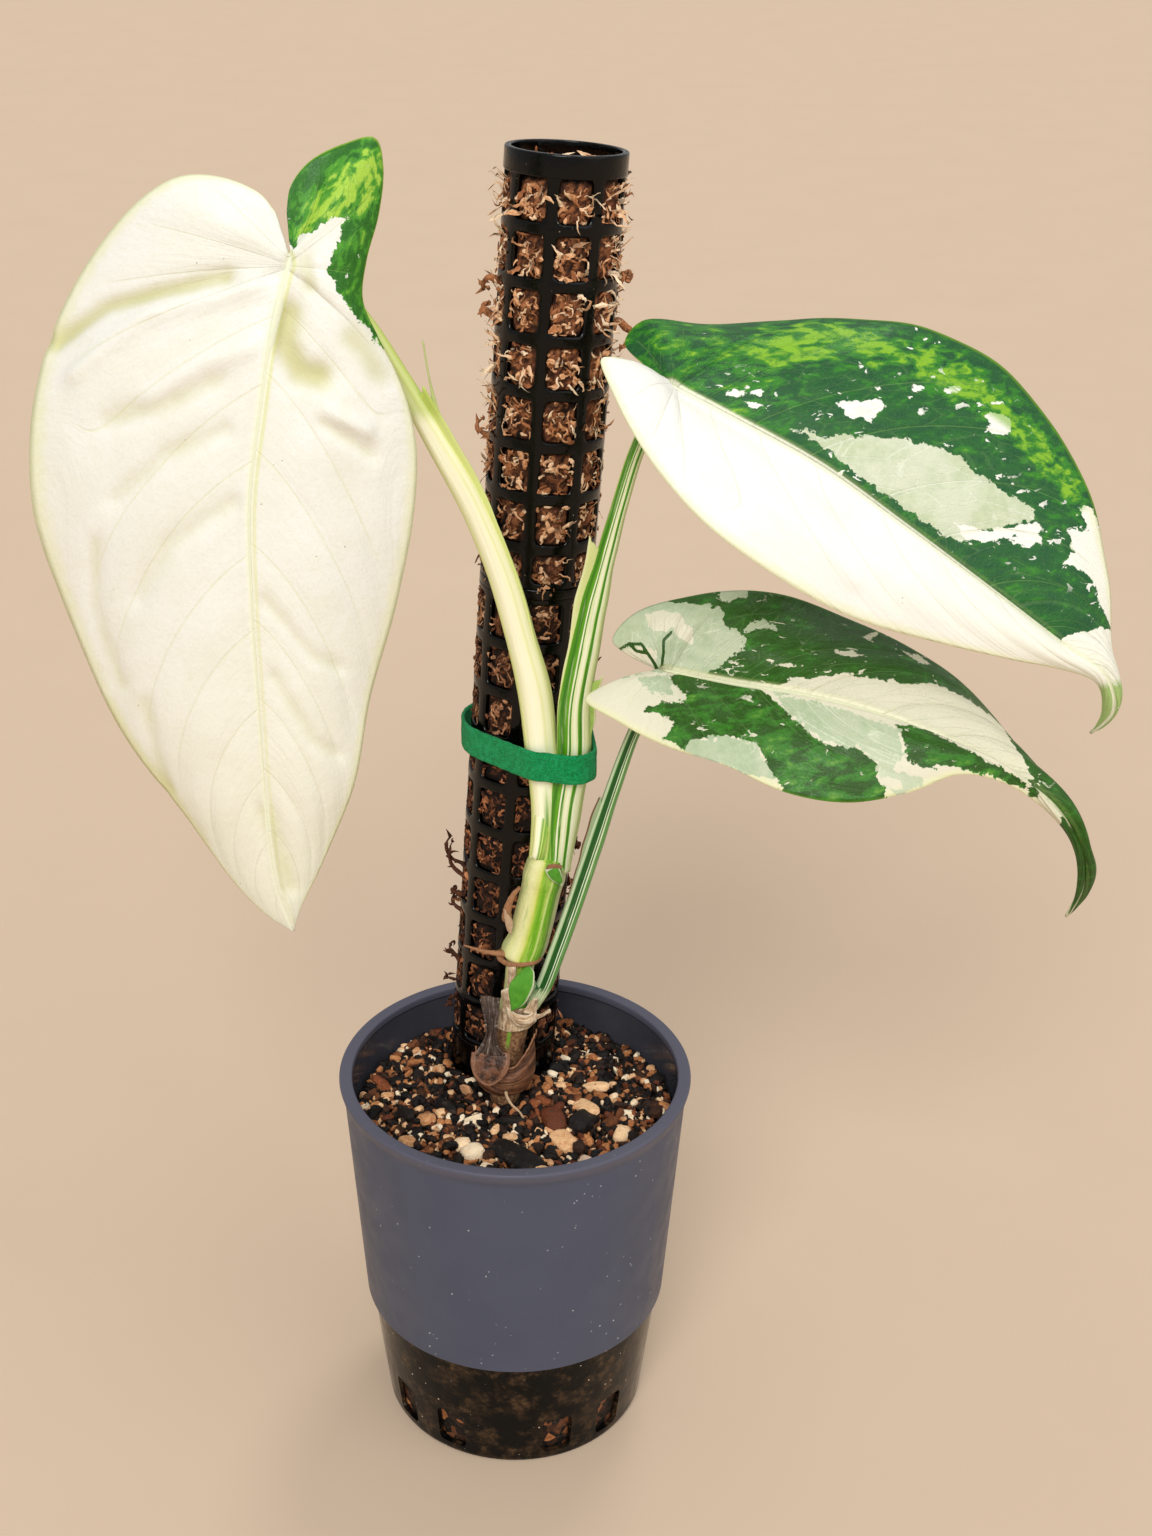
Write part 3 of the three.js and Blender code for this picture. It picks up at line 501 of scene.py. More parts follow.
def rounded_hole(half_width, half_height, corner, segments):
    x, y = square_loop(segments)
    x, y = x * half_width, y * half_height
    cx, cy = np.sign(x) * (half_width - corner), np.sign(y) * (half_height - corner)
    far = np.hypot(x - cx, y - cy)
    at_corner = (np.abs(x) > np.abs(cx)) & (np.abs(y) > np.abs(cy))
    return (np.where(at_corner, cx + (x - cx) / far * corner, x),
            np.where(at_corner, cy + (y - cy) / far * corner, y))


def pierced_cell(parts, wrap, middle, half, hole, bevel, depth, segments=8):
    """One cell of a wall with a rounded window. Wrap turns (along, up, inwards) into a point."""
    cx, cy = middle
    x, y = square_loop(segments)
    loops = [(cx + x * half[0], cy + y * half[1], 0.0)]
    for turn in (0, 22, 45, 67, 90):
        out = bevel * (1 - math.sin(math.radians(turn)))
        wide, high = rounded_hole(hole[0] + out, hole[1] + out, hole[2] + out, segments)
        loops.append((cx + wide, cy + high, bevel * (1 - math.cos(math.radians(turn)))))
    wide, high = rounded_hole(*hole, segments)
    loops += [(cx + wide, cy + high, depth), (cx + x * half[0], cy + y * half[1], depth)]
    points = np.stack([wrap(u, v, np.full(len(u), w)) for u, v, w in loops])
    parts.add(points, grid_faces(len(loops), 4 * segments, wrap=True))


def plain_cell(parts, wrap, low, high, depth, across, up=8):
    """One cell of a wall without a window."""
    u = np.linspace(low[0], high[0], across + 1)[None, :] + np.zeros((up + 1, 1))
    v = np.linspace(low[1], high[1], up + 1)[:, None] + np.zeros((1, across + 1))
    for w in (0.0, depth):
        parts.add(wrap(u, v, np.full(u.shape, w)), grid_faces(up + 1, across + 1))


def inner_pot_paint():
    p = Paint("smoky_plastic", Roughness=0.2, Specular_IOR_Level=0.14)
    blotch = p.rise(p.noise(9.0, 5.0, rough=0.65), 0.42, 0.58)
    crumbs = p.cells(3.4, output="Color")
    chunk = p.mix(crumbs, rgb(20, 14, 10), rgb(92, 68, 45))
    chunk = p.mix(p.rise(p.noise(2.0, 4.0), 0.35, 0.65), chunk, rgb(34, 25, 18))
    colour = p.mix(p.times(blotch, 0.75), rgb(5, 5, 5), chunk)
    speck = p.times(p.rise(p.cells(2.6), 0.15, 0.10), p.rise(p.noise(6.0), 0.54, 0.60))
    colour = p.mix(p.times(speck, 0.85), colour, rgb(206, 190, 166))
    upper = p.rise(p.axis(2), 105.0, 112.0)
    colour = p.mix(upper, colour, p.mix(p.noise(14.0, 3.0), rgb(56, 56, 63), rgb(66, 67, 75)))
    smear = p.rise(p.noise(3.0, 4.0, p.scaled(p.place, (1.0, 1.0, 0.2))), 0.35, 0.75, 0.10, 0.28)
    return p.done(colour, p.bump(p.noise(6.0, 3.0), 0.2), smear)


def make_inner_pot():
    parts = Parts()
    top = POT_HEIGHT - LIP_HEIGHT - GAP
    foot_top, low, high = 1.5, FLOOR + 1.0, 20.5
    reach = math.radians(72.0)
    slots = 5

    def wrap(u, v, w):
        away = np.where(w > 0, pot_radius(v) - WALL, pot_radius(v))
        return around(away, u, v)

    mean = pot_radius(10.0)
    for pair in range(slots):
        middle = math.radians(-59.0) + pair * reach
        slot_sides = [middle + math.radians(turn) for turn in (-23, -3, 3, 23)]
        edges = [middle - reach / 2, *slot_sides, middle + reach / 2]
        for a, b, pierced in zip(edges, edges[1:], (False, True, False, True, False)):
            if not pierced:
                plain_cell(parts, wrap, (a, low), (b, high), WALL, 4)
                continue

            def stretched(u, v, w, centre=(a + b) / 2):
                return wrap(centre + (u - centre) / mean, v, w)

            pierced_cell(parts, stretched, ((a + b) / 2, (low + high) / 2), ((b - a) / 2 * mean, (high - low) / 2),
                         (4.6, 7.2, 1.2), 0.7, WALL)
    sides = 160
    rim = full_turn(sides)
    for start, stop, rows in ((foot_top, low, 3), (high, top, 24)):
        for depth in (0.0, WALL):
            band = wrap(rim, np.linspace(start, stop, rows)[:, None], depth)
            parts.add(band, grid_faces(rows, sides, wrap=True))
    sole = pot_radius(0) - 1.5
    for rings in (((pot_radius(top), top), (pot_radius(top) - WALL, top)),
                  ((sole, 0.0), (34.0, 0.0), (18.0, 0.0), (0.4, 0.0)),
                  ((pot_radius(low) - WALL, low), (34.0, low), (18.0, low), (0.4, low)),
                  ((pot_radius(foot_top), foot_top), (pot_radius(0.7) - 0.4, 0.5), (sole, 0.0))):
        points = np.stack([around(radius, rim, height) for radius, height in rings])
        parts.add(points, grid_faces(len(rings), sides, wrap=True))
    parts.make("fine_inner_pot", inner_pot_paint(), "inner_pot", "inner_pot", sharp=40, weld=True)


# The potting mix.

SOIL_EDGE = 118.5
SOIL_MIDDLE = 121.5
GOLDEN_TURN = 2.399963
POLE_FOOT = np.array([-4.6, 29.0, 120.0])
POLE_TOP = np.array([15.3, 38.0, 432.0])
POLE_RADIUS = 18.2
STEM_FOOT = (-3.3, 3.0)


def ground(x, y):
    """The height of the potting mix."""
    edge = pot_radius(SOIL_EDGE) - WALL - GAP
    away = np.hypot(x, y) / edge
    return SOIL_MIDDLE + (SOIL_EDGE - SOIL_MIDDLE) * away + 0.9 * ripple(5, x / 9.0, y / 9.0)


def ball(level):
    """Points and faces of a round ball of triangles."""
    g = (1 + 5 ** 0.5) / 2
    points = [(-1, g, 0), (1, g, 0), (-1, -g, 0), (1, -g, 0), (0, -1, g), (0, 1, g), (0, -1, -g), (0, 1, -g),
              (g, 0, -1), (g, 0, 1), (-g, 0, -1), (-g, 0, 1)]
    faces = [(0, 11, 5), (0, 5, 1), (0, 1, 7), (0, 7, 10), (0, 10, 11), (1, 5, 9), (5, 11, 4), (11, 10, 2),
             (10, 7, 6), (7, 1, 8), (3, 9, 4), (3, 4, 2), (3, 2, 6), (3, 6, 8), (3, 8, 9), (4, 9, 5), (2, 4, 11),
             (6, 2, 10), (8, 6, 7), (9, 8, 1)]
    points = [np.array(p, float) / np.linalg.norm(p) for p in points]
    for _ in range(level):
        halves, finer = {}, []

        def half(a, b):
            key = (min(a, b), max(a, b))
            if key not in halves:
                halves[key] = len(points)
                points.append(unit(points[a] + points[b]))
            return halves[key]

        for a, b, c in faces:
            ab, bc, ca = half(a, b), half(b, c), half(c, a)
            finer += [(a, ab, ca), (b, bc, ab), (c, ca, bc), (ab, bc, ca)]
        faces = finer
    return np.array(points), np.array(faces)


def turns(count, pick, lean):
    """Seeded rotations: any turn round Z, and a lean about the other axes."""
    a, b, c = pick.uniform(0, 2 * np.pi, count), pick.normal(0, lean, count), pick.normal(0, lean, count)
    one, nil = np.ones(count), np.zeros(count)

    def stack(rows):
        return np.stack([np.stack(row, -1) for row in rows], -2)

    rz = stack([[np.cos(a), -np.sin(a), nil], [np.sin(a), np.cos(a), nil], [nil, nil, one]])
    rx = stack([[one, nil, nil], [nil, np.cos(b), -np.sin(b)], [nil, np.sin(b), np.cos(b)]])
    ry = stack([[np.cos(c), nil, np.sin(c)], [nil, one, nil], [-np.sin(c), nil, np.cos(c)]])
    return rz @ rx @ ry


def chunks(parts, places, sizes, tones, level, rough, pick, lean=0.45):
    """Adds lumps with the given half sizes, roughened by rough."""
    points, faces = ball(level)
    count = len(places)
    wobble = 1.0 + rough * pick.uniform(-1, 1, (count, len(points), 1))
    cube = np.sign(points) * np.abs(points) ** 0.7
    body = (cube[None] * wobble) * sizes[:, None, :]
    body = np.einsum("kij,knj->kni", turns(count, pick, lean), body) + places[:, None, :]
    shift = (np.arange(count) * len(points))[:, None, None]
    parts.add(body, (faces[None] + shift).reshape(-1, 3).tolist(),
              tone=np.repeat(tones, len(points)), own=np.repeat(pick.uniform(0, 1, count), len(points)))


def soil_paint():
    p = Paint("potting_mix", Roughness=0.7, Specular_IOR_Level=0.28)
    grain = p.noise(0.9, 4.0, rough=0.7)
    crinkle = p.noise(2.2, 4.0, p.scaled(p.place, (0.6, 1.0, 1.0)), 0.65)
    tone = p.plus(p.value("tone"), p.line(grain, 0.30, -0.16))
    tone = p.plus(tone, p.sway(crinkle, 0.20))
    below = p.rise(p.axis(2), 112.0, 104.0)
    tone = p.plus(tone, p.times(p.minus(p.cells(3.0, output="Color"), 0.42), below))
    colour = p.ramp(tone, [
        (0.0, rgb(7, 5, 4)), (0.18, rgb(22, 13, 9)), (0.34, rgb(60, 34, 20)),
        (0.5, rgb(132, 78, 44)), (0.64, rgb(194, 128, 78)), (0.8, rgb(250, 206, 156)),
        (1.0, rgb(255, 236, 204))])
    red = p.rise(p.value("own"), 0.90, 0.93, 0.0, 0.4)
    colour = p.mix(red, colour, p.mix(grain, rgb(96, 40, 18), rgb(190, 100, 56)))
    # painted sheen: a lighter grey on the crinkles of the dark pieces, a painted highlight
    painted_sheen = p.times(p.rise(crinkle, 0.56, 0.66), p.rise(p.value("tone"), 0.35, 0.15, 0.0, 0.55))
    colour = p.mix(painted_sheen, colour, rgb(74, 58, 46))
    rough_skin = p.bump(grain, 0.5, p.bump(crinkle, 0.8))
    return p.done(colour, rough_skin, p.rise(p.value("tone"), 0.1, 0.6, 0.5, 0.8))


def make_soil():
    p = soil_paint()
    pick = np.random.default_rng(31)
    edge = pot_radius(SOIL_EDGE) - WALL - GAP
    base = Parts()
    rings, sides, rows = 46, 150, 30
    angle = full_turn(sides)
    away = np.linspace(0.02, 1.0, rings)[:, None] * edge
    x, y = away * np.cos(angle), away * np.sin(angle)
    z = ground(x, y) - 1.6 + 0.8 * ripple(8, x, y, count=7)
    base.add(xyz(x, y, z), grid_faces(rings, sides, wrap=True), tone=0.14, own=0.0)
    depth = np.linspace(SOIL_EDGE - 1.2, FLOOR + GAP + 0.6, rows)[:, None]
    wall = around(pot_radius(depth) - WALL - GAP - 0.3, angle, depth)
    base.add(wall, grid_faces(rows, sides, wrap=True), tone=0.13, own=0.0)
    base.make("fine_soil", p, "soil", "soil")

    def field(count, low, high, power, flat):
        index = np.arange(count) + 0.5
        away = np.sqrt(index / count) * (edge - 1.0)
        turn = index * GOLDEN_TURN + pick.uniform(-0.25, 0.25, count)
        size = low + (high - low) * pick.uniform(0, 1, count) ** power
        halves = np.stack([size * pick.uniform(*span, count) for span in ((0.9, 1.8), (0.6, 1.0), flat)], -1)
        away = np.minimum(away, edge - halves.max(1) - 0.4)
        places = around(away, turn, 0.0)
        places[:, 2] = ground(places[:, 0], places[:, 1])
        return places, halves

    def keep(places, halves):
        to_pole = np.hypot(places[:, 0] - POLE_FOOT[0], places[:, 1] - POLE_FOOT[1])
        to_stem = np.hypot(places[:, 0] - STEM_FOOT[0], places[:, 1] - STEM_FOOT[1])
        return (to_pole > POLE_RADIUS + 0.6 + halves.max(1) * 0.8) & (to_stem > 7.5 + halves.max(1) * 0.8)

    lumps = Parts()
    shades = [0.04, 0.16, 0.30, 0.46, 0.60, 0.76, 0.97]
    for count, low, high, power, flat, lift, level, odds in (
            (3600, 0.5, 1.35, 1.0, (0.6, 0.95), 0.3, 0, [0.28, 0.18, 0.12, 0.12, 0.13, 0.11, 0.06]),
            (1150, 1.0, 1.9, 1.2, (0.5, 0.9), 0.7, 1, [0.34, 0.18, 0.10, 0.11, 0.12, 0.09, 0.06]),
            (70, 2.0, 3.2, 1.6, (0.4, 0.7), 0.8, 1, [0.38, 0.24, 0.14, 0.10, 0.07, 0.04, 0.03])):
        places, halves = field(count, low, high, power, flat)
        inside = keep(places, halves)
        places, halves = places[inside], halves[inside]
        places[:, 2] += lift + pick.uniform(-0.6, 0.8, len(places))
        tones = pick.choice(shades, len(places), p=odds) + pick.uniform(-0.06, 0.06, len(places))
        chunks(lumps, places, halves, tones, level, (0.2, 0.1)[level], pick, 0.6)
    single = [  # place, half sizes, tone: pumice, an oval chip and long dark bark
        ((-14.0, -31.0), (4.0, 3.4, 3.0), 0.95), ((-17.5, -27.0), (3.0, 2.6, 2.4), 0.90),
        ((-9.5, -46.0), (2.7, 2.3, 2.1), 0.97), ((-3.0, -46.5), (2.9, 2.4, 2.0), 0.92),
        ((16.5, -24.5), (5.8, 3.8, 1.6), 0.74), ((1.0, -33.0), (10.5, 4.6, 2.6), 0.08),
        ((24.0, -6.0), (7.0, 2.8, 1.8), 0.78), ((23.0, -14.0), (6.5, 4.5, 3.0), 0.10),
        ((13.0, -14.0), (6.0, 4.0, 2.8), 0.14), ((-30.0, -12.0), (3.6, 2.8, 2.2), 0.68),
        ((36.0, -20.0), (3.8, 2.7, 2.2), 0.84), ((-36.0, -24.0), (3.0, 2.7, 2.1), 0.7),
        ((28.0, 6.0), (5.2, 2.2, 1.6), 0.80), ((8.0, -40.0), (3.4, 2.2, 1.6), 0.78),
        ((-24.0, -40.0), (3.4, 2.4, 1.6), 0.72), ((30.0, -33.0), (3.6, 2.4, 1.6), 0.62),
    ]
    spots, sizes, tones = (np.array(column) for column in zip(*single))
    places = np.column_stack([spots, ground(spots[:, 0], spots[:, 1]) + 1.5])
    chunks(lumps, places, sizes, tones, 2, 0.045, pick, 0.15)
    lumps.make("fine_soil_chunks", p, "soil", "soil", sharp=30)


# The pole.

BARS = 8
BAR_WIDTH = 3.6
FIRST_BAR = -12.0
RING_HEIGHT = 3.8
POLE_WALL = 1.7
LOWER = {"rings": 11, "pitch": 16.6, "top": 178.2, "end": 181.5}
UPPER = {"rings": 7, "pitch": 16.2, "top": 291.6, "collar": 306.0, "end": 312.8}
COIR_TOP = 308.6
STRAP_LEVEL = 246.8

POLE_BURIED = -50.0
PANEL = 2 * math.pi * POLE_RADIUS / BARS
WINDOW_HALF = PANEL / 2 - BAR_WIDTH / 2

pole_axis = unit(POLE_TOP - POLE_FOOT)


def ring_levels(section):
    """The heights of a section's rings along the pole, from the bottom up."""
    return [section["top"] - ring * section["pitch"] for ring in range(section["rings"])][::-1]


def on_pole(points):
    """Turns points in the pole's own frame, whose axis is Z, into the part's frame."""
    axis = np.cross([0.0, 0.0, 1.0], pole_axis)
    sine, cosine = np.linalg.norm(axis), pole_axis[2]
    k = axis / sine
    along = (points @ k)[..., None] * k
    return points * cosine + np.cross(k, points) * sine + along * (1 - cosine) + POLE_FOOT


def net_paint():
    p = Paint("black_net", Roughness=0.28, Specular_IOR_Level=0.26)
    dust = p.rise(p.noise(2.5, 5.0, rough=0.7), 0.66, 0.82, 0.0, 0.2)
    colour = p.mix(dust, rgb(1, 1, 1), rgb(44, 38, 34))
    speck = p.times(p.rise(p.cells(2.2), 0.11, 0.06), 0.7)
    colour = p.mix(p.times(speck, p.rise(p.noise(8.0), 0.57, 0.66)), colour, rgb(170, 160, 146))
    return p.done(colour, p.bump(p.noise(1.6, 3.0), 0.10), p.rise(p.noise(4.0, 4.0), 0.3, 0.7, 0.12, 0.22))


def make_net(name, node, material, rings, bottom, top_band, collar=False):
    parts = Parts()
    start = math.radians(-90.0 + FIRST_BAR) * POLE_RADIUS
    bore = POLE_RADIUS - POLE_WALL

    def wrap(u, v, w):
        return on_pole(around(POLE_RADIUS - w, u / POLE_RADIUS, v))

    for low, high in zip(rings, rings[1:]):
        middle, half = (low + high) / 2, (high - low) / 2
        for bar in range(BARS):
            pierced_cell(parts, wrap, (start + (bar + 0.5) * PANEL, middle), (PANEL / 2, half),
                         (WINDOW_HALF - 0.2, half - RING_HEIGHT / 2, 1.5), 0.9, POLE_WALL)
    bands = [(bore, POLE_RADIUS, bottom, rings[0], 0.4, 4), (bore, POLE_RADIUS, rings[-1], top_band, 0.4, 4)]
    if collar:
        bands.append((bore + 0.1, POLE_RADIUS + 0.3, UPPER["collar"], UPPER["end"], 0.6, 5))
    for inner, outer, low, high, corner, steps in bands:
        if high > low:
            outline = rounded([(inner, low), (outer, low), (outer, high), (inner, high)], corner, steps)
            points, faces = lathe(outline, 96)
            parts.add(on_pole(points), faces)
    parts.make(name, material, node, "pole_mesh", sharp=42, weld=True)


def coir_paint():
    p = Paint("coir", Roughness=0.75, Specular_IOR_Level=0.25)
    height = p.value("height")
    grain = p.noise(0.7, 4.0, rough=0.7)
    fibre = p.noise(0.5, 3.0, p.vector("lay", (0.25, 1.0, 1.0)), 0.6)
    pocket = p.noise(3.2, 3.0)
    own = p.plus(p.value("own"), p.sway(grain, 0.3))
    own = p.plus(own, p.sway(fibre, 0.5))
    low = p.ramp(own, [(0.0, rgb(14, 8, 5)), (0.3, rgb(38, 20, 12)), (0.58, rgb(94, 53, 31)),
                       (0.8, rgb(152, 92, 56)), (1.0, rgb(204, 142, 98))])
    high = p.ramp(own, [(0.0, rgb(36, 19, 11)), (0.22, rgb(96, 54, 32)), (0.5, rgb(176, 112, 70)),
                        (0.72, rgb(236, 178, 130)), (0.95, rgb(255, 226, 190))])
    colour = p.mix(p.rise(height, 100.0, 250.0), low, high)
    # painted shade: the coir is darkened where it lies deep in the pole, and in scattered pockets
    dark = p.most(p.rise(p.value("deep"), 16.9, 15.6), p.rise(pocket, 0.46, 0.38, 0.0, 0.55))
    colour = p.mix(dark, colour, rgb(16, 9, 6))
    return p.done(colour, p.bump(fibre, 0.3, p.bump(grain, 0.25)))


def coir_core(material, pick):
    """The rough filling down the middle of the pole, with its rounded top."""
    core = Parts()
    low, high = -18.0, COIR_TOP - 0.5
    rows, columns = 200, 64
    h, u = np.meshgrid(np.linspace(low, high, rows), full_turn(columns), indexing="ij")
    r = 15.0 + 0.5 * ripple(3, u * 4, h * 0.9, count=8) + pick.uniform(-0.35, 0.35, h.shape)
    core.add(on_pole(around(r, u, h)), grid_faces(rows, columns, wrap=True),
             own=pick.uniform(0, 0.5, h.size), height=h, deep=r, lay=np.zeros((h.size, 3)))
    radii = (14.6, 10.0, 6.0, 2.0, 0.2)
    tops = np.stack([around(radius, u[0], high + 0.9 * pick.uniform(-1, 1, columns)) for radius in radii])
    core.add(on_pole(tops), grid_faces(len(radii), columns, wrap=True), own=0.5, height=high, deep=17.4,
             lay=np.zeros((len(radii) * columns, 3)))
    core.make("fine_coir_core", material, "coir_core", "coir")


def pole_windows():
    """Each window's height up the pole, half height, and the way that it faces."""
    levels = [*ring_levels(LOWER), *ring_levels(UPPER), UPPER["collar"]]
    for below, above in zip(levels, levels[1:]):
        for bar in range(BARS):
            facing = math.radians(-90 + FIRST_BAR + (bar + 0.5) * 360 / BARS)
            yield (below + above) / 2, (above - below) / 2 - RING_HEIGHT / 2, facing


def coir_pad(pads, level, half_high, facing, tame, bushy, pick):
    """The crumpled mat behind one window. It bulges out less where it is tame."""
    rows, columns = 15, 13
    s = np.linspace(-1, 1, columns)[None, :]
    v = np.linspace(-1, 1, rows)[:, None]
    dome = (1 - s ** 4) * (1 - v ** 4)
    rough = ripple(pick.integers(1 << 30), s * 4.5, v * 4.5, count=6)
    rough = rough + pick.uniform(-0.45, 0.45, (rows, columns))
    away = 15.7 + dome * (0.7 if tame else 0.9 + 0.5 * bushy) + (0.5 if tame else 0.9) * rough * dome
    turn = facing + s * (WINDOW_HALF + 1.2) / POLE_RADIUS
    up = level + v * (half_high + 1.4) + pick.uniform(-0.3, 0.3, (rows, columns))
    points = around(away, turn, up)
    pads.add(on_pole(points), grid_faces(rows, columns), own=pick.uniform(0.0, 0.5, up.shape),
             height=np.full(up.shape, level), deep=away + 0.3 * rough, lay=points[..., [2, 0, 1]] * (1, 2, 2))


def add_strips(parts, grid, **values):
    """Adds many narrow strips at once. The grid holds strips, the knots along them and the points across."""
    strips, knots, across = grid.shape[:3]
    starts = (np.arange(strips) * knots * across)[:, None, None]
    faces = (np.array(grid_faces(knots, across))[None] + starts).reshape(-1, 4)
    parts.add(on_pole(grid.reshape(-1, 3)), faces.tolist(), **values)


def coir_shreds(shreds, level, half_high, facing, tame, bushy, outer, pick):
    """The curly shreds that lie in one window, some of which stand out of it."""
    count = 34 if math.sin(facing) < 0.35 else 18
    knots = 7
    one_each = (count, 1)
    t = np.linspace(0, 1, knots)[None, :]
    angle = pick.uniform(0, 2 * np.pi, one_each)
    long = pick.uniform(2.5, 7.0, one_each)
    s0 = pick.uniform(-0.8, 0.8, one_each) * WINDOW_HALF
    v0 = pick.uniform(-0.8, 0.8, one_each) * half_high
    outward = pick.uniform(0, 1, one_each) ** (1.4 if outer and not tame else 3.0) * bushy
    angle = np.where(outward > 0.4 * bushy, np.arctan2(v0, s0) + pick.normal(0, 0.8, one_each), angle)
    heading = angle + pick.normal(0, 1.5, one_each) * t + pick.normal(0, 0.55, (count, knots))
    path_s = s0 + long * np.cumsum(np.cos(heading), 1) / knots
    path_v = v0 + long * np.cumsum(np.sin(heading), 1) / knots
    lift = 16.7 + pick.uniform(0, 0.9, one_each) + (0.5 if tame else 1.0) * (
        0.7 * np.sin(np.pi * t) + outward * long * 0.7 * t ** 1.3)
    limit = np.where(outward > 0.45, 0.5 if tame else 2.6, -0.25)
    path_s = np.clip(path_s, -WINDOW_HALF - limit, WINDOW_HALF + limit)
    path_v = np.clip(path_v, -half_high - limit, half_high + limit)
    over = np.maximum(np.abs(path_s) / WINDOW_HALF, np.abs(path_v) / half_high)
    lift = np.where(over > 1.0, np.maximum(lift, POLE_RADIUS + 0.35), lift)
    turn = facing + path_s / POLE_RADIUS
    path = around(lift, turn, level + path_v)
    way = unit(np.gradient(path, axis=1))
    out = around(1.0, turn, 0.0)
    twist = (pick.uniform(-1.0, 1.0, one_each) * (0.4 + t))[..., None]
    side = unit(np.cross(way, out))
    side = unit(side * np.cos(twist) + out * np.sin(twist))
    wide = pick.uniform(0.2, 0.8, one_each) ** 1.2 * np.sin(np.pi * (0.16 + 0.84 * t) ** 0.8) ** 0.7 + 0.04
    wide = (wide * pick.uniform(0.5, 1.4, (count, knots)))[..., None]
    ridge = path + np.cross(side, way) * wide * 0.5
    own = np.clip(0.3 + 0.6 * pick.uniform(0, 1, count) + 0.3 * outward[:, 0], 0, 1)
    lay = xyz((t * long)[..., None], np.array([-1.0, 0.0, 1.0]), np.arange(count)[:, None, None] * 3.1)
    strips = np.stack([path - side * wide, ridge, path + side * wide], 2)
    add_strips(shreds, strips, own=np.repeat(own, knots * 3),
               height=np.full(lay[..., 0].size, level), deep=np.repeat(lift.reshape(-1) + 0.2, 3),
               lay=lay.reshape(-1, 3))


def rim_tufts(shreds, pick):
    """The tufts that stand up inside the rim of the pole."""
    count, knots = 90, 6
    one_each = (count, 1, 1)
    t = np.linspace(0, 1, knots)[None, :, None]
    turn, away = pick.uniform(0, 2 * np.pi, one_each), 15.2 * pick.uniform(0.15, 1, one_each) ** 0.5
    foot = around(away, turn, COIR_TOP - 1.2)[:, 0]
    way = np.concatenate([pick.normal(0, 0.8, (count, 1, 2)), pick.uniform(0.1, 0.9, one_each)], -1)
    curl = np.concatenate([pick.normal(0, 1.1, (count, 1, 2)), pick.uniform(-0.5, 0.2, one_each)], -1)
    path = foot + pick.uniform(2.5, 5.5, one_each) * (unit(way) * t + 0.5 * curl * t ** 2)
    reach = np.linalg.norm(path[..., :2], axis=-1, keepdims=True)
    path[..., :2] *= np.minimum(1.0, 15.9 / reach)
    side = unit(np.cross(unit(np.gradient(path, axis=1)), pick.normal(0, 1, (count, 1, 3))))
    wide = pick.uniform(0.3, 0.9, one_each) * np.sin(np.pi * (0.15 + 0.85 * t)) ** 0.6 + 0.04
    grid = np.stack([path - side * wide, path + side * wide], 2)
    add_strips(shreds, grid, height=300.0, deep=18.0, own=np.repeat(pick.uniform(0.35, 0.95, count), knots * 2),
               lay=grid.reshape(-1, 3))


# Twigs that stick out of the pole: turn in degrees, height up the pole, climb, reach outwards and thickness.
TWIGS = [
    (-172, 76, 7, 7.5, 0.5), (-168, 72, 10, 6.0, 0.4), (-175, 66, -3, 4.0, 0.6), (178, 58, 2, 4.5, 0.5),
    (-172, 40, 3, 3.5, 0.5), (-165, 34, -3, 4.0, 0.4), (-174, 23, 2, 3.5, 0.5), (4, 84, 3, 3.5, 0.5),
    (8, 70, -2, 3.5, 0.6), (-4, 150, 3, 3.0, 0.6), (0, 128, 0, 2.6, 0.7), (-178, 274, -4, 6.0, 0.5),
    (176, 262, 2, 5.5, 0.6), (0, 262, -3, 6.5, 0.6), (-4, 276, 2, 4.5, 0.6), (-176, 226, 4, 5.5, 0.5),
]


def coir_twigs(material, pick):
    twigs = Parts()
    run = np.linspace(0, 1, 23)
    for turn, level, climb, out, thick in TWIGS:
        t = np.linspace(0, 1, 12)
        bends = ripple(int(level * 10 + turn) & 1023, t * 6, count=3)
        angle = np.radians(turn + 26 * (t - 0.3) * (1 if level % 2 else -1) + 10 * bends)
        away = 16.8 + (0.8 * out + 1.4) * np.sin(t * 2.1) ** 1.2
        line = on_pole(around(away, angle, level + climb * t + 2.6 * bends))
        knotty = 1 + 0.45 * ripple(int(level) + 7, run * 9, count=4)
        girth = 2.2 * thick * (1 - 0.75 * run) * knotty + 0.05
        values = {"own": 0.5, "height": float(level), "deep": 19.0}
        limb(twigs, Curve(line, 5), 22, 6, girth, 0.6 * girth, **values)
        for knot in (3, 5, 6, 8, 9, 11):
            off = pick.normal(0, 1, 3) * np.array([1.0, 0.6, 1.0])
            curl = pick.normal(0, 0.7, 3)
            barb = [line[knot], line[knot] + 0.8 * off, line[knot] + 1.1 * off + curl]
            limb(twigs, Curve(barb, 4), 6, 5, 1.5 * thick * (1.1 - np.linspace(0, 1, 7)), 0.5 * thick, **values)
    twigs.values["lay"] = twigs.values.pop("round")
    twigs.make("fine_coir_twigs", material, "coir_core", "coir")


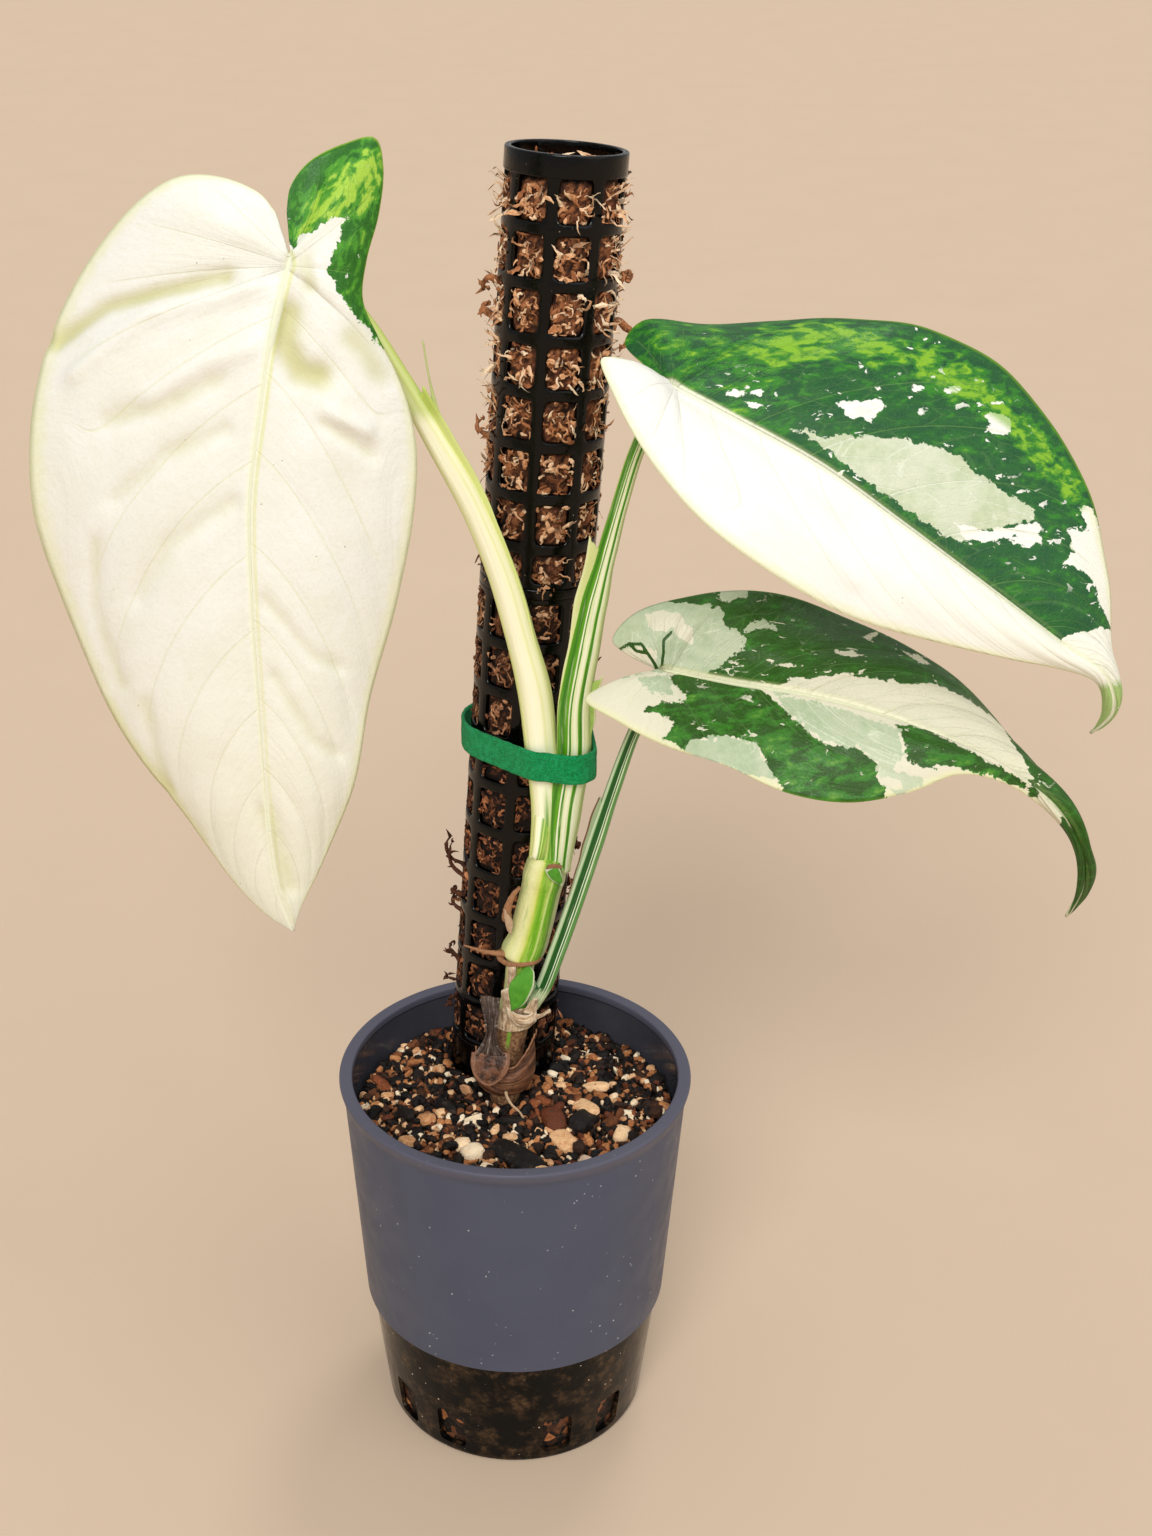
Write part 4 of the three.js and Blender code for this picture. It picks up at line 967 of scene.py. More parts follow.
def make_coir():
    material = coir_paint()
    pick = np.random.default_rng(41)
    coir_core(material, pick)
    pads, shreds = Parts(), Parts()
    for level, half_high, facing in pole_windows():
        height = level + POLE_FOOT[2]
        strapped = abs(height - STRAP_LEVEL) < 14
        behind = math.sin(facing) < -0.15 and (height < 236 or (math.cos(facing) > 0.1 and height < 300))
        tame = strapped or behind
        outer = abs(math.cos(facing)) > 0.8 and level > 225
        bushy = 0.25 if tame else pick.uniform(0.2, 1.0) ** 1.3 + 0.3 * (level > 240) + 0.5 * outer
        coir_pad(pads, level, half_high, facing, tame, bushy, pick)
        coir_shreds(shreds, level, half_high, facing, tame, bushy, outer, pick)
    rim_tufts(shreds, pick)
    pads.make("fine_coir_pads", material, "coir_core", "coir", sharp=30)
    shreds.make("fine_coir_shreds", material, "coir_core", "coir", sharp=50)
    coir_twigs(material, pick)


# The leaves.

BLADES = {
    "leaf_left": {
        "midrib": [[-60, -30, 414], [-65, -36, 397], [-69, -40, 376], [-73, -43, 351], [-74, -44, 322],
                   [-74, -43, 290], [-74, -40, 257], [-73, -36, 227], [-69, -32, 207]],
        "left": [[-64, -25, 425], [-68, -22, 429], [-78, -20, 433], [-89, -18, 433], [-99, -17, 428],
                 [-112, -16, 416], [-124, -17, 400], [-132, -18, 384], [-137, -20, 361], [-137, -22, 335],
                 [-129, -25, 303], [-117, -27, 273], [-100, -29, 246], [-87, -31, 224], [-76, -32, 212],
                 [-69, -32, 207]],
        "right": [[-61, -24, 425], [-60, -21, 431], [-55, -17, 437], [-46, -14, 441], [-38, -12, 442],
                  [-36, -13, 435], [-37, -18, 423], [-40, -24, 412], [-41, -27, 402], [-37, -28, 392],
                  [-32, -28, 381], [-28, -27, 363], [-29, -27, 342], [-34, -28, 315], [-43, -29, 284],
                  [-50, -30, 253], [-59, -31, 230], [-66, -32, 216], [-69, -32, 207]],
        "lobe": (0.34, 0.36), "bulge": (5, 4), "wave": (1, 3),
    },
    "leaf_upper": {
        "midrib": [[44, -5, 373], [64, -12, 364], [87, -20, 353], [110, -26, 338], [136, -31, 320],
                   [157, -34, 305], [171, -34, 295], [177, -30, 282], [174, -22, 270]],
        "left": [[36, -9, 379], [29, -12, 382], [24, -14, 382], [29, -22, 371], [39, -30, 357], [54, -38, 341],
                 [73, -42, 328], [95, -42, 316], [125, -40, 306], [155, -37, 298], [169, -35, 293],
                 [174, -29, 281], [174, -22, 270]],
        "right": [[37, 2, 377], [32, 10, 381], [37, 14, 386], [54, 16, 385], [78, 18, 386], [102, 18, 386],
                  [122, 16, 383], [143, 12, 374], [159, 4, 358], [169, -6, 339], [174, -18, 318],
                  [175, -28, 300], [179, -30, 286], [178, -26, 276], [174, -22, 270]],
        "lobe": (0.26, 0.27), "bulge": (4, 4), "wave": (0.8, 3),
    },
    "leaf_lower": {
        "midrib": [[45, -8, 285], [65, -18, 285], [85, -26, 285], [108, -32, 281], [128, -36, 274],
                   [147, -38, 264], [161, -38, 253], [172, -34, 237], [176, -28, 221], [175, -20, 205]],
        "left": [[36, -12, 284], [28, -16, 283], [21, -20, 280], [31, -28, 277], [46, -36, 272], [63, -44, 269],
                 [80, -48, 263], [98, -50, 261], [115, -48, 263], [130, -46, 268], [145, -43, 264],
                 [159, -40, 252], [170, -35, 236], [174, -29, 220], [175, -20, 205]],
        "right": [[38, -5, 288], [30, -2, 292], [36, 2, 299], [51, 4, 304], [70, 4, 306], [93, 3, 302],
                  [113, -2, 294], [132, -8, 284], [148, -16, 271], [159, -26, 258], [169, -33, 247],
                  [178, -32, 231], [179, -26, 217], [175, -20, 205]],
        "lobe": (0.27, 0.24), "bulge": (3, 4), "wave": (0.8, 4),
    },
}

# Where the side veins leave the midrib, as places along the blade.
VEINS = [0.0, 0.07, 0.15, 0.225, 0.30, 0.355, 0.425, 0.50, 0.59, 0.665, 0.745, 0.82, 0.89, 0.95, 1.0]

# Outlines of the markings, drawn in the leaf's upright plane: x, and the height along the plane.
MARKS = {
    "leaf_left": {
        "dark": [[(-59, 361), (-64, 370), (-63, 376), (-60, 383), (-54, 389), (-46, 394), (-34, 395),
                  (-33, 388), (-35, 382), (-35, 373), (-36, 367), (-39, 360), (-39, 352), (-38, 346),
                  (-36, 338), (-38, 339), (-40, 343), (-42, 343), (-45, 347), (-47, 349), (-48, 353),
                  (-50, 355), (-49, 359), (-48, 363), (-46, 367), (-45, 370), (-49, 369), (-51, 368),
                  (-54, 366), (-58, 365)]],
        "sage": [],
        "pale": [],
        "lime": [[(-57, 366), (-54, 373), (-48, 380), (-42, 386), (-36, 389), (-37, 380), (-40, 374),
                  (-46, 371), (-50, 370)]],
    },
    "leaf_upper": {
        "dark": [],
        "sage": [[(79, 319), (84, 320), (88, 317), (97, 318), (110, 317), (117, 316), (124, 314),
                  (130, 311), (133, 307), (137, 305), (143, 301), (149, 298), (150, 295), (142, 292),
                  (135, 291), (130, 289), (127, 288), (119, 292), (110, 298), (104, 302), (96, 308),
                  (90, 313), (85, 317)],
                 [(161, 286), (161, 291), (165, 292), (169, 291), (168, 286)]],
        "pale": [[(126, 293), (135, 291), (151, 294), (154, 291), (145, 290), (136, 288), (130, 288)],
                 [(143, 290), (152, 290), (152, 287), (143, 287)],
                 [(165, 300), (169, 299), (172, 292), (175, 281), (177, 265), (177, 258), (170, 271),
                  (168, 277), (162, 281), (158, 282), (162, 286), (160, 292), (168, 292), (165, 297)],
                 [(92, 328), (97, 328), (104, 329), (106, 326), (102, 322), (96, 323), (94, 325)],
                 [(114, 333), (119, 333), (115, 330)], [(124, 333), (129, 334), (129, 332), (124, 331)],
                 [(136, 326), (140, 327), (145, 324), (144, 320), (136, 320), (138, 323)],
                 [(60, 331), (71, 331), (71, 330), (60, 329)], [(65, 328), (71, 327), (71, 326), (66, 326)],
                 [(158, 261), (170, 264), (180, 262), (188, 250), (182, 230), (168, 226), (158, 240)]],
        "lime": [[(54, 340), (70, 350), (84, 354), (100, 353), (118, 348), (134, 341), (148, 329),
                  (160, 314), (169, 298), (164, 296), (154, 310), (142, 321), (128, 330), (114, 338),
                  (100, 341), (84, 340), (68, 335)], [(166, 248), (178, 250), (186, 244), (180, 228),
                                                      (168, 230)]],
        "mid": [[(26, 350), (40, 354), (58, 353), (66, 344), (56, 332), (44, 330), (34, 340)],
                [(60, 336), (80, 340), (78, 328), (62, 326)]],
    },
    "leaf_lower": {
        "dark": [[(46, 251), (58, 251), (65, 248), (72, 247), (76, 244), (81, 239), (86, 234), (91, 230),
                  (100, 229), (106, 224), (106, 220), (108, 217), (109, 210), (100, 208), (89, 209),
                  (80, 213), (76, 219), (73, 225), (71, 230), (62, 232), (52, 231), (50, 228), (44, 232),
                  (47, 236), (43, 239), (37, 241), (52, 243)],
                 [(112, 235), (117, 236), (125, 232), (137, 226), (144, 222), (154, 217), (155, 214),
                  (147, 218), (141, 220), (133, 222), (125, 224), (120, 223), (116, 224), (114, 228)],
                 [(162, 209), (171, 201), (176, 194), (178, 187), (177, 179), (175, 174), (172, 185),
                  (169, 195), (164, 203)]],
        "sage": [[(28, 262), (29, 267), (38, 272), (46, 274), (55, 273), (62, 272), (63, 268), (65, 265),
                  (70, 262), (68, 258), (63, 254), (58, 252), (50, 251), (41, 252), (33, 250)],
                 [(63, 279), (71, 279), (71, 274), (63, 274)], [(70, 268), (79, 267), (79, 265), (70, 265)],
                 [(37, 250), (47, 251), (47, 245), (41, 245)],
                 [(76, 246), (90, 242), (103, 238), (108, 236), (113, 234), (113, 227), (111, 222),
                  (118, 220), (119, 218), (111, 215), (109, 217), (106, 220), (106, 224), (100, 229),
                  (91, 230), (86, 234), (81, 239), (77, 244)],
                 [(52, 231), (62, 232), (71, 230), (73, 225), (76, 219), (66, 222), (54, 226), (50, 228)],
                 [(96, 249), (102, 250), (108, 250), (108, 247), (100, 246)],
                 [(126, 243), (132, 244), (138, 242), (133, 241), (126, 241)]],
        "pale": [[(40, 270), (45, 271), (51, 270), (52, 267), (54, 265), (54, 260), (50, 262), (48, 265),
                  (42, 264), (40, 268)],
                 [(32, 259), (36, 260), (43, 259), (43, 254), (35, 251)],
                 [(73, 257), (78, 255), (86, 253), (81, 253)], [(96, 258), (101, 258), (105, 256),
                                                                (99, 256)],
                 [(105, 262), (110, 264), (113, 265), (108, 262)],
                 [(118, 258), (122, 258), (127, 254), (122, 255)],
                 [(80, 248), (84, 249), (91, 250), (98, 251), (109, 249), (117, 248), (125, 248),
                  (132, 245), (138, 242), (147, 236), (150, 227), (154, 220), (152, 219), (143, 224),
                  (131, 229), (121, 234), (113, 236), (108, 237), (101, 239), (90, 243), (80, 246),
                  (72, 247)],
                 [(106, 220), (113, 220), (113, 217), (109, 217)]],
        "lime": [],
        "mid": [[(30, 240), (70, 246), (108, 228), (130, 226), (150, 216), (120, 204), (80, 200),
                 (40, 220)]],
        "ink": [[(31.3, 258.8), (34.9, 260.8), (38.5, 260.6), (41, 257), (43.6, 253.4)],
                [(44.6, 253.4), (45.1, 258), (45.1, 261.7), (47.5, 264.1)],
                [(34.9, 260.8), (37, 258.6), (40, 258)]],
    },
}


def inside_by(places, outlines):
    """How far each (x, w) place lies inside the nearest outline, in millimetres; less than 0 outside."""
    best = np.full(len(places), -60.0)
    for outline in outlines:
        given = np.array(outline, float)
        a, b = given, np.roll(given, -1, 0)
        run = b - a
        to = places[:, None] - a[None]
        share = np.clip((to * run).sum(-1) / (run ** 2).sum(-1), 0, 1)
        gap = np.linalg.norm(to - share[..., None] * run, axis=-1).min(1)
        crosses = (a[None, :, 1] > places[:, None, 1]) != (b[None, :, 1] > places[:, None, 1])
        rise = np.where(run[:, 1] == 0, 1e-9, run[:, 1])
        at = a[None, :, 0] + (places[:, None, 1] - a[None, :, 1]) / rise * run[None, :, 0]
        odd = (crosses & (places[:, None, 0] < at)).sum(1) % 2 == 1
        best = np.maximum(best, np.where(odd, gap, -gap))
    return best


# Soft folds of the blades in the same plane: points, half width, lift and how much painted olive shade it carries.
FOLDS = {
    "leaf_left": [
        ([(-77, 354), (-89, 352), (-104, 350), (-112, 349), (-120, 345), (-128, 341)], 2.8, -1.0, 0.75),
        ([(-70, 352), (-89, 348), (-100, 345), (-111, 339), (-121, 332)], 3.2, 1.1, -0.3),
        ([(-81, 328), (-97, 322), (-112, 319)], 3.4, -0.6, 0.45),
        ([(-61, 345), (-62, 337), (-58, 330), (-53, 329)], 4.4, -1.5, 0.85),
        ([(-56, 358), (-55, 352)], 2.8, -0.4, 0.5),
        ([(-44, 339), (-41, 336), (-37, 330)], 4.0, -0.5, 0.5),
        ([(-49, 319), (-41, 316)], 2.2, 0.9, -0.3),
        ([(-52, 317), (-45, 313), (-40, 310)], 2.2, -0.7, 0.4),
        ([(-119, 287), (-121, 272), (-119, 260), (-115, 248)], 2.6, -0.4, 0.4),
        ([(-108, 242), (-106, 227), (-104, 217)], 2.4, -0.3, 0.4),
        ([(-121, 242), (-111, 225), (-103, 215), (-95, 201)], 2.6, 0.0, 0.5),
        ([(-74, 210), (-71, 196), (-69, 187)], 3.2, -0.7, 0.55),
        ([(-70, 270), (-58, 255), (-51, 252)], 2.2, -0.5, 0.3),
        ([(-69, 249), (-59, 231), (-53, 227)], 2.2, -0.5, 0.3),
        ([(-71, 336), (-85, 332), (-100, 324)], 3.0, 0.8, -0.2),
        ([(-79, 315), (-96, 309), (-112, 298)], 2.6, -0.6, 0.3),
        ([(-78, 296), (-97, 285), (-107, 271)], 2.6, -0.6, 0.25),
    ],
    "leaf_upper": [
        ([(50, 330), (70, 316), (89, 299), (109, 279)], 3.0, -0.5, 0.12),
        ([(58, 307), (77, 293), (95, 276)], 3.0, 0.5, 0.0),
    ],
    "leaf_lower": [([(56, 262), (67, 257), (77, 253)], 2.4, -0.5, 0.3)],
}


def gap_to(places, line):
    """The distance from each (x, w) place to an open line of points."""
    given = np.array(line, float)
    a, run = given[:-1], np.diff(given, axis=0)
    to = places[:, None] - a[None]
    share = np.clip((to * run).sum(-1) / (run ** 2).sum(-1), 0, 1)
    return np.linalg.norm(to - share[..., None] * run, axis=-1).min(1)


def blade_grid(blade, rows, columns):
    """A blade's mid surface, its normals, and each point's row, place across and distance from the midrib."""
    curves = {key: Curve(blade[key]) for key in ("midrib", "left", "right")}
    row = np.linspace(0, 1, rows + 1)
    across = np.linspace(0, 1, columns + 1) ** 1.25
    halves = []
    for side, name in enumerate(("left", "right")):
        lobe, bulge = blade["lobe"][side], blade["bulge"][side]
        onward = np.maximum(0, (row - 0.3) / 0.7)
        on_lobe = row < 0.3
        rib = curves["midrib"]
        along_rib = np.minimum(1, np.where(on_lobe, 0.05 * row, 0.015 + 0.985 * onward ** 1.1))
        along_edge = np.minimum(1, np.where(on_lobe, lobe * row / 0.3, lobe + (1 - lobe) * onward))
        start, way = rib.at(along_rib)[:, None], rib.way(along_rib)[:, None]
        outward = curves[name].at(along_edge)[:, None] - start
        face = unit(np.cross(way, unit(outward))) * (-1 if side == 0 else 1)
        fade = (smooth(1 - row, 0, 0.25) * smooth(row, 0, 0.12))[:, None]
        height, count = blade["wave"]
        lift = fade * (bulge * np.sin(np.pi * across) + height * across ** 3
                       * np.sin(2 * np.pi * count * row)[:, None])
        points = start + outward * across[None, :, None] + face * lift[..., None]
        normals = unit(np.cross(np.gradient(points, axis=0), np.gradient(points, axis=1)))
        normals = normals * (-1 if side == 0 else 1)
        far = np.linalg.norm(outward, axis=-1) * across
        halves.append((points, normals, np.broadcast_to(row[:, None], far.shape),
                       np.broadcast_to(across, far.shape), far))
    left, right = halves
    joined = [np.concatenate([a[:, :0:-1], b], axis=1) for a, b in zip(left, right)]
    side = np.concatenate([np.full((rows + 1, columns), -1.0), np.zeros((rows + 1, 1)),
                           np.ones((rows + 1, columns))], axis=1)
    points, normals, row, across, far = joined
    middle = columns
    normals[:, middle] = unit(normals[:, middle - 1] + normals[:, middle + 1])
    for _ in range(3):
        inner = normals[1:-1, 1:-1]
        around = normals[:-2, 1:-1] + normals[2:, 1:-1] + normals[1:-1, :-2] + normals[1:-1, 2:]
        normals[1:-1, 1:-1] = unit(2 * inner + around)
    normals[0] = normals[1]
    normals[-1] = normals[-2]
    return points, normals, row, across, far, side


def make_leaf(name, quilt, seed, slot, paint):
    blade = BLADES[name]
    rows, columns = 230, 36
    points, normals, row, across, far, side = blade_grid(blade, rows, columns)
    q = row.copy()
    for _ in range(12):
        sweep = 0.17 * smooth(q, 0.27, 0.44) * (1.0 - 0.6 * smooth(q, 0.72, 1.0))
        q = np.clip(row - sweep * across ** 1.6, 0, 1)
    offset = np.where(side > 0, 0.012, 0.0)
    vein = np.interp(q + offset, VEINS, np.arange(len(VEINS)))
    open_row = smooth(row, 0.02, 0.3) * smooth(1 - row, 0.0, 0.2)
    fade = smooth(across, 0.02, 0.3) * (1 - smooth(across, 0.7, 0.98)) * open_row
    uneven = ripple(seed + 7, np.floor(vein) * 2.1 + 4 * side, across * 1.5)
    strength = quilt * (0.6 + 0.8 * (0.5 + 0.5 * uneven))
    sag = vein - np.floor(vein)
    lift = strength * fade * (np.sin(np.pi * sag) ** 0.7 - 0.6)
    lift = lift + 0.30 * ripple(seed, points[..., 0] / 11, points[..., 2] / 11) * smooth(across, 0.05, 0.3)
    lift = lift + 0.10 * ripple(seed + 2, points[..., 0] / 3.5, points[..., 2] / 4.5, count=7) * fade
    lift = lift + 0.5 * across ** 4 * ripple(seed + 1, row * 30 + side, count=4) * open_row
    upright = points[..., 1] * math.sin(VIEW_TILT) + points[..., 2] * math.cos(VIEW_TILT)
    flat = np.stack([points[..., 0], upright], -1).reshape(-1, 2)
    shade = np.zeros(row.shape)
    # each fold lifts the blade and adds painted olive shade to the value "shade"
    for line, half, high, fold_shade_share in FOLDS[name]:
        swell = np.exp(-(gap_to(flat, line) / half) ** 2).reshape(row.shape)
        lift = lift + 1.9 * high * swell * smooth(far, 0.0, 3.0)
        shade = shade + fold_shade_share * swell
    broad = 1.0 - 0.6 * row
    lift = lift - 0.55 * broad * np.exp(-(far / (1.0 * broad + 0.3)) ** 2)
    lift = lift + 0.40 * broad * np.exp(-((far - 2.4 * broad) / (1.1 * broad + 0.2)) ** 2)
    surface = points + normals * lift[..., None]
    thick = 0.62 - 0.36 * across ** 8
    marks = {key: np.clip(inside_by(flat, MARKS[name][key]), -9, 9).reshape(row.shape)
             for key in ("dark", "sage", "pale", "lime")}
    if name == "leaf_left":
        marks["dark"] = np.where(side < 0, -9.0, marks["dark"])
    else:
        half = np.clip(side * far * 2.5, -9, 9)
        marks["dark"] = np.maximum(marks["dark"], half)
        middling = np.minimum(inside_by(flat, MARKS[name]["mid"]), -0.8).reshape(row.shape)
        marks["lime"] = np.maximum(marks["lime"], middling)
    ink = np.zeros(row.shape)
    for line in MARKS[name].get("ink", []):
        ink = np.maximum(ink, np.exp(-(gap_to(flat, line) / 0.5) ** 2).reshape(row.shape))
    lay = xyz(vein * 17.0 + 400 * (side > 0), far, 0.0)
    parts = Parts()
    sheet(parts, surface, thick, normals, row=row, bank=side * far, rib=far, vein=vein, lay=lay, shade=shade,
          ink=ink, edge=np.clip((1 - across) * 40, 0, 40), **marks)

    # the midrib stands out under the blade, which starts at the share 0.3 of its rows
    steps, sides = 90, 10
    run = np.linspace(0, 1, steps + 1)
    taper = 1.25 * (1 - run) ** 1.2
    bare = dict.fromkeys(("row", "bank", "rib", "vein", "shade", "ink"), 0.0)
    unmarked = dict.fromkeys(marks, -9.0)
    limb(parts, Curve(blade["midrib"]), steps, sides, 0.5 + taper, 0.5 + taper, **bare, **unmarked,
         edge=40.0, under=1.0, lay=np.zeros(((steps + 1) * sides, 3)))
    nearest = np.repeat(run * (0.7 * rows) + 0.3 * rows, sides).astype(int)
    parts.points[-1] -= normals[nearest, columns] * np.repeat(0.35 + taper, sides)[:, None]
    parts.values.pop("round")
    parts.make("fine_" + name, paint.material, name, slot)


class LeafPaint(Paint):
    """A blade's material: a cream ground, green, sage and lime markings with ragged edges, veins, flecks."""

    def __init__(self, name, cream, shadow, dark, mid, lime, sage, stretch, turn, bright_bias):
        super().__init__(name, Roughness=0.42, Specular_IOR_Level=0.32)
        self.cream, self.shadow, self.dark = cream, shadow, dark
        self.mid, self.lime, self.sage = mid, lime, sage
        self.lay = self.vector("lay")
        self.edge = self.value("edge")
        self.middling = self.noise(3.4, 4.0, rough=0.6)
        self.fine = self.noise(0.9, 3.0, rough=0.6)
        self.cloud = self.noise(18.0, 4.0, rough=0.6)
        self.make_veins()
        cream_ground = self.ground()
        green = self.greens(stretch, turn, bright_bias)
        wander = self.plus(self.sway(self.middling, 6.0), self.sway(self.fine, 1.6))
        calm_rib = self.rise(self.value("rib"), 0.3, 4.0)
        colour = self.mix(self.inside("dark", self.times(wander, calm_rib)), cream_ground, green)
        colour = self.mix(self.inside("sage", wander), colour, self.thin_green())
        colour = self.mix(self.inside("pale", self.times(wander, 0.7)), colour, cream_ground)
        colour = self.midrib(self.flecks(colour))
        colour = self.mix(self.times(self.value("under"), 0.35), colour, rgb(206, 216, 178))
        self.done(colour, self.bump(self.relief(), 0.34), self.rise(self.cloud, 0.3, 0.7, 0.36, 0.5))

    def inside(self, mark, wander):
        """1 inside the outline of a marking, whose edge wanders by that many millimetres."""
        return self.rise(self.plus(self.value(mark), wander), -0.15, 0.15)

    def make_veins(self):
        """The side veins at whole numbers of "vein", their branches, and the finest net between them."""
        line = self.math("ABSOLUTE", self.minus(self.math("FRACT", self.plus(self.value("vein"), 0.5)), 0.5))
        inner = self.rise(self.edge, 5.0, 13.0)
        self.major = self.times(self.rise(line, 0.024, 0.006), inner)
        branch = self.cells(5.0, self.scaled(self.lay, (1.0, 0.40, 1.0)), "DISTANCE_TO_EDGE")
        self.minor = self.times(self.rise(self.plus(branch, self.sway(self.fine, 0.1)), 0.035, 0.005), inner)
        self.web = self.rise(self.cells(1.3, feature="DISTANCE_TO_EDGE"), 0.07, 0.0)

    def ground(self):
        """Cream: painted olive shade in the folds, a yellow-green edge painted in for light through the thin
        margin, with a few brown specks.
        """
        cream, shadow = self.cream, self.shadow
        spots, places = self.rise(self.cells(2.6), 0.085, 0.05), self.rise(self.noise(9.0, 2.0), 0.64, 0.67)
        brown = self.times(spots, places)
        # soft carries the painted olive shade of the folds: the value "shade" with a cloudy swing
        soft = self.plus(self.value("shade"), self.sway(self.cloud, 0.4))
        rim = self.plus(self.edge, self.sway(self.middling, 3.0))
        veins = self.times(self.plus(self.major, self.times(self.minor, 0.2)), 0.26)
        tone = self.mix(self.rise(self.cloud, 0.35, 0.65), cream, self.mix(0.12, cream, shadow))
        for share, colour in (
                (veins, rgb(222, 223, 160)),
                (self.rise(self.fine, 0.45, 0.7, 0.0, 0.12), shadow),
                (self.rise(soft, 0.02, 0.95, 0.0, 0.95), shadow),
                (self.rise(self.value("row"), 0.5, 1.0, 0.0, 0.5), self.mix(0.5, cream, rgb(228, 228, 170))),
                (self.rise(self.value("lime"), 0.0, 3.0, 0.0, 0.75), self.lime),
                # painted light: the yellow-green rim stands in for light showing through the thin margin
                (self.rise(rim, 4.5, 0.6, 0.0, 0.45), rgb(224, 226, 160)),
                (self.rise(self.edge, 1.0, 0.1, 0.0, 0.3), rgb(208, 212, 134)),
                (self.times(brown, 0.9), rgb(128, 78, 44))):
            tone = self.mix(share, tone, colour)
        return tone

    def greens(self, stretch, turn, bright_bias):
        """Greens in flat patches with crisp edges, like layered paint."""
        dark, mid, lime = self.dark, self.mid, self.lime
        turned = self.node("ShaderNodeVectorRotate", rotation_type="Y_AXIS")
        self.put(turned.inputs["Vector"], self.place)
        self.put(turned.inputs["Angle"], math.radians(turn))
        patch = self.noise(4.4, 5.0, self.scaled(turned.outputs[0], stretch), 0.58, 0.35)
        bias = self.line(self.rise(self.value("lime"), -6.0, 5.0), 0.27, bright_bias)
        level = self.plus(patch, self.plus(bias, self.sway(self.cloud, 0.2)))
        veins = self.times(self.most(self.major, self.times(self.minor, 0.5)), 0.30)
        green = self.mix(self.rise(patch, 0.3, 0.7), dark, self.mix(0.4, dark, mid))
        for share, colour in (
                (self.rise(level, 0.54, 0.57, 0.0, 0.6), mid),
                (self.rise(level, 0.60, 0.63), mid),
                (self.rise(level, 0.66, 0.69), self.mix(0.45, mid, lime)),
                (self.rise(level, 0.72, 0.75), lime),
                (veins, self.mix(0.4, mid, rgb(170, 204, 130))),
                (self.times(self.web, 0.13), rgb(110, 156, 90)),
                # painted light: the lime edge stands in for light showing through the thin margin
                (self.rise(self.edge, 0.9, 0.2, 0.0, 0.6), lime)):
            green = self.mix(share, green, colour)
        return green

    def thin_green(self):
        """Sage: a thin smooth green over cream."""
        sage = self.sage
        veins = self.times(self.most(self.major, self.times(self.minor, 0.7)), 0.5)
        thin = self.mix(self.rise(self.middling, 0.35, 0.65), sage, self.mix(0.16, sage, self.mid))
        for share, colour in (
                (self.rise(self.cloud, 0.45, 0.62, 0.0, 0.5), self.mix(0.45, sage, self.cream)),
                (veins, rgb(232, 236, 216)),
                (self.times(self.web, 0.16), rgb(226, 232, 212))):
            thin = self.mix(share, thin, colour)
        return thin

    def flecks(self, colour):
        """Cream flecks inside the green, each with a darker border, and the dark strokes of "ink"."""
        spot = self.noise(3.4, 4.0, self.scaled(self.place, (0.7, 1.0, 1.4)), 0.55, 0.6)
        off_sage = self.rise(self.value("sage"), 0.5, -1.0, 0.15, 1.0)
        in_green = self.times(self.rise(self.value("dark"), 0.5, 2.0), off_sage)
        clustered = self.times(self.rise(self.noise(14.0, 2.0), 0.50, 0.58), in_green)
        near = self.rise(self.most(self.value("pale"), self.value("sage")), -9.0, -2.0)
        halo = self.times(self.rise(spot, 0.60, 0.68), clustered)
        colour = self.mix(self.times(halo, 0.35), colour, self.dark)
        crumb = self.times(self.rise(spot, 0.632, 0.647), near)
        fleck = self.most(self.times(self.rise(spot, 0.675, 0.69), clustered), self.times(crumb, in_green))
        colour = self.mix(fleck, colour, self.mix(0.2, self.cream, self.sage))
        stroke = self.rise(self.plus(self.value("ink"), self.sway(self.fine, 0.5)), 0.4, 0.55)
        return self.mix(stroke, colour, self.dark)

    def midrib(self, colour):
        """A pale line with a yellower bank on its right."""
        row, bank = self.value("row"), self.value("bank")
        width = self.rise(row, 0.2, 1.0, 1.0, 0.4)
        line = self.rise(self.value("rib"), self.times(width, 2.0), self.times(width, 1.1))
        colour = self.mix(self.times(line, 0.9), colour, self.mix(0.5, self.cream, rgb(236, 238, 196)))
        beside = self.times(self.rise(bank, 0.9, 1.4), self.rise(bank, 2.6, 1.8))
        beside = self.times(beside, self.rise(self.value("dark"), 1.0, -1.0, 0.25, 1.0))
        return self.mix(self.times(beside, self.rise(row, 1.0, 0.3, 0.2, 0.55)), colour, rgb(214, 218, 130))

    def relief(self):
        """Sunk veins and a silky grain, stronger in the green."""
        grown = self.rise(self.value("dark"), -0.5, 0.5)
        silk = self.noise(2.4, 3.0, self.scaled(self.lay, (1.0, 0.22, 1.0)), 0.6)
        height = self.times(self.times(self.major, self.line(grown, 0.25, 0.22)), -1.0)
        minor = self.times(self.minor, self.line(grown, 0.2, 0.03))
        for value, share in ((self.middling, 0.6), (silk, 0.8), (minor, -1.0),
                             (self.fine, 0.15), (self.times(self.web, grown), -0.12)):
            height = self.line(value, share, height)
        return height


# The stem and the stalks.

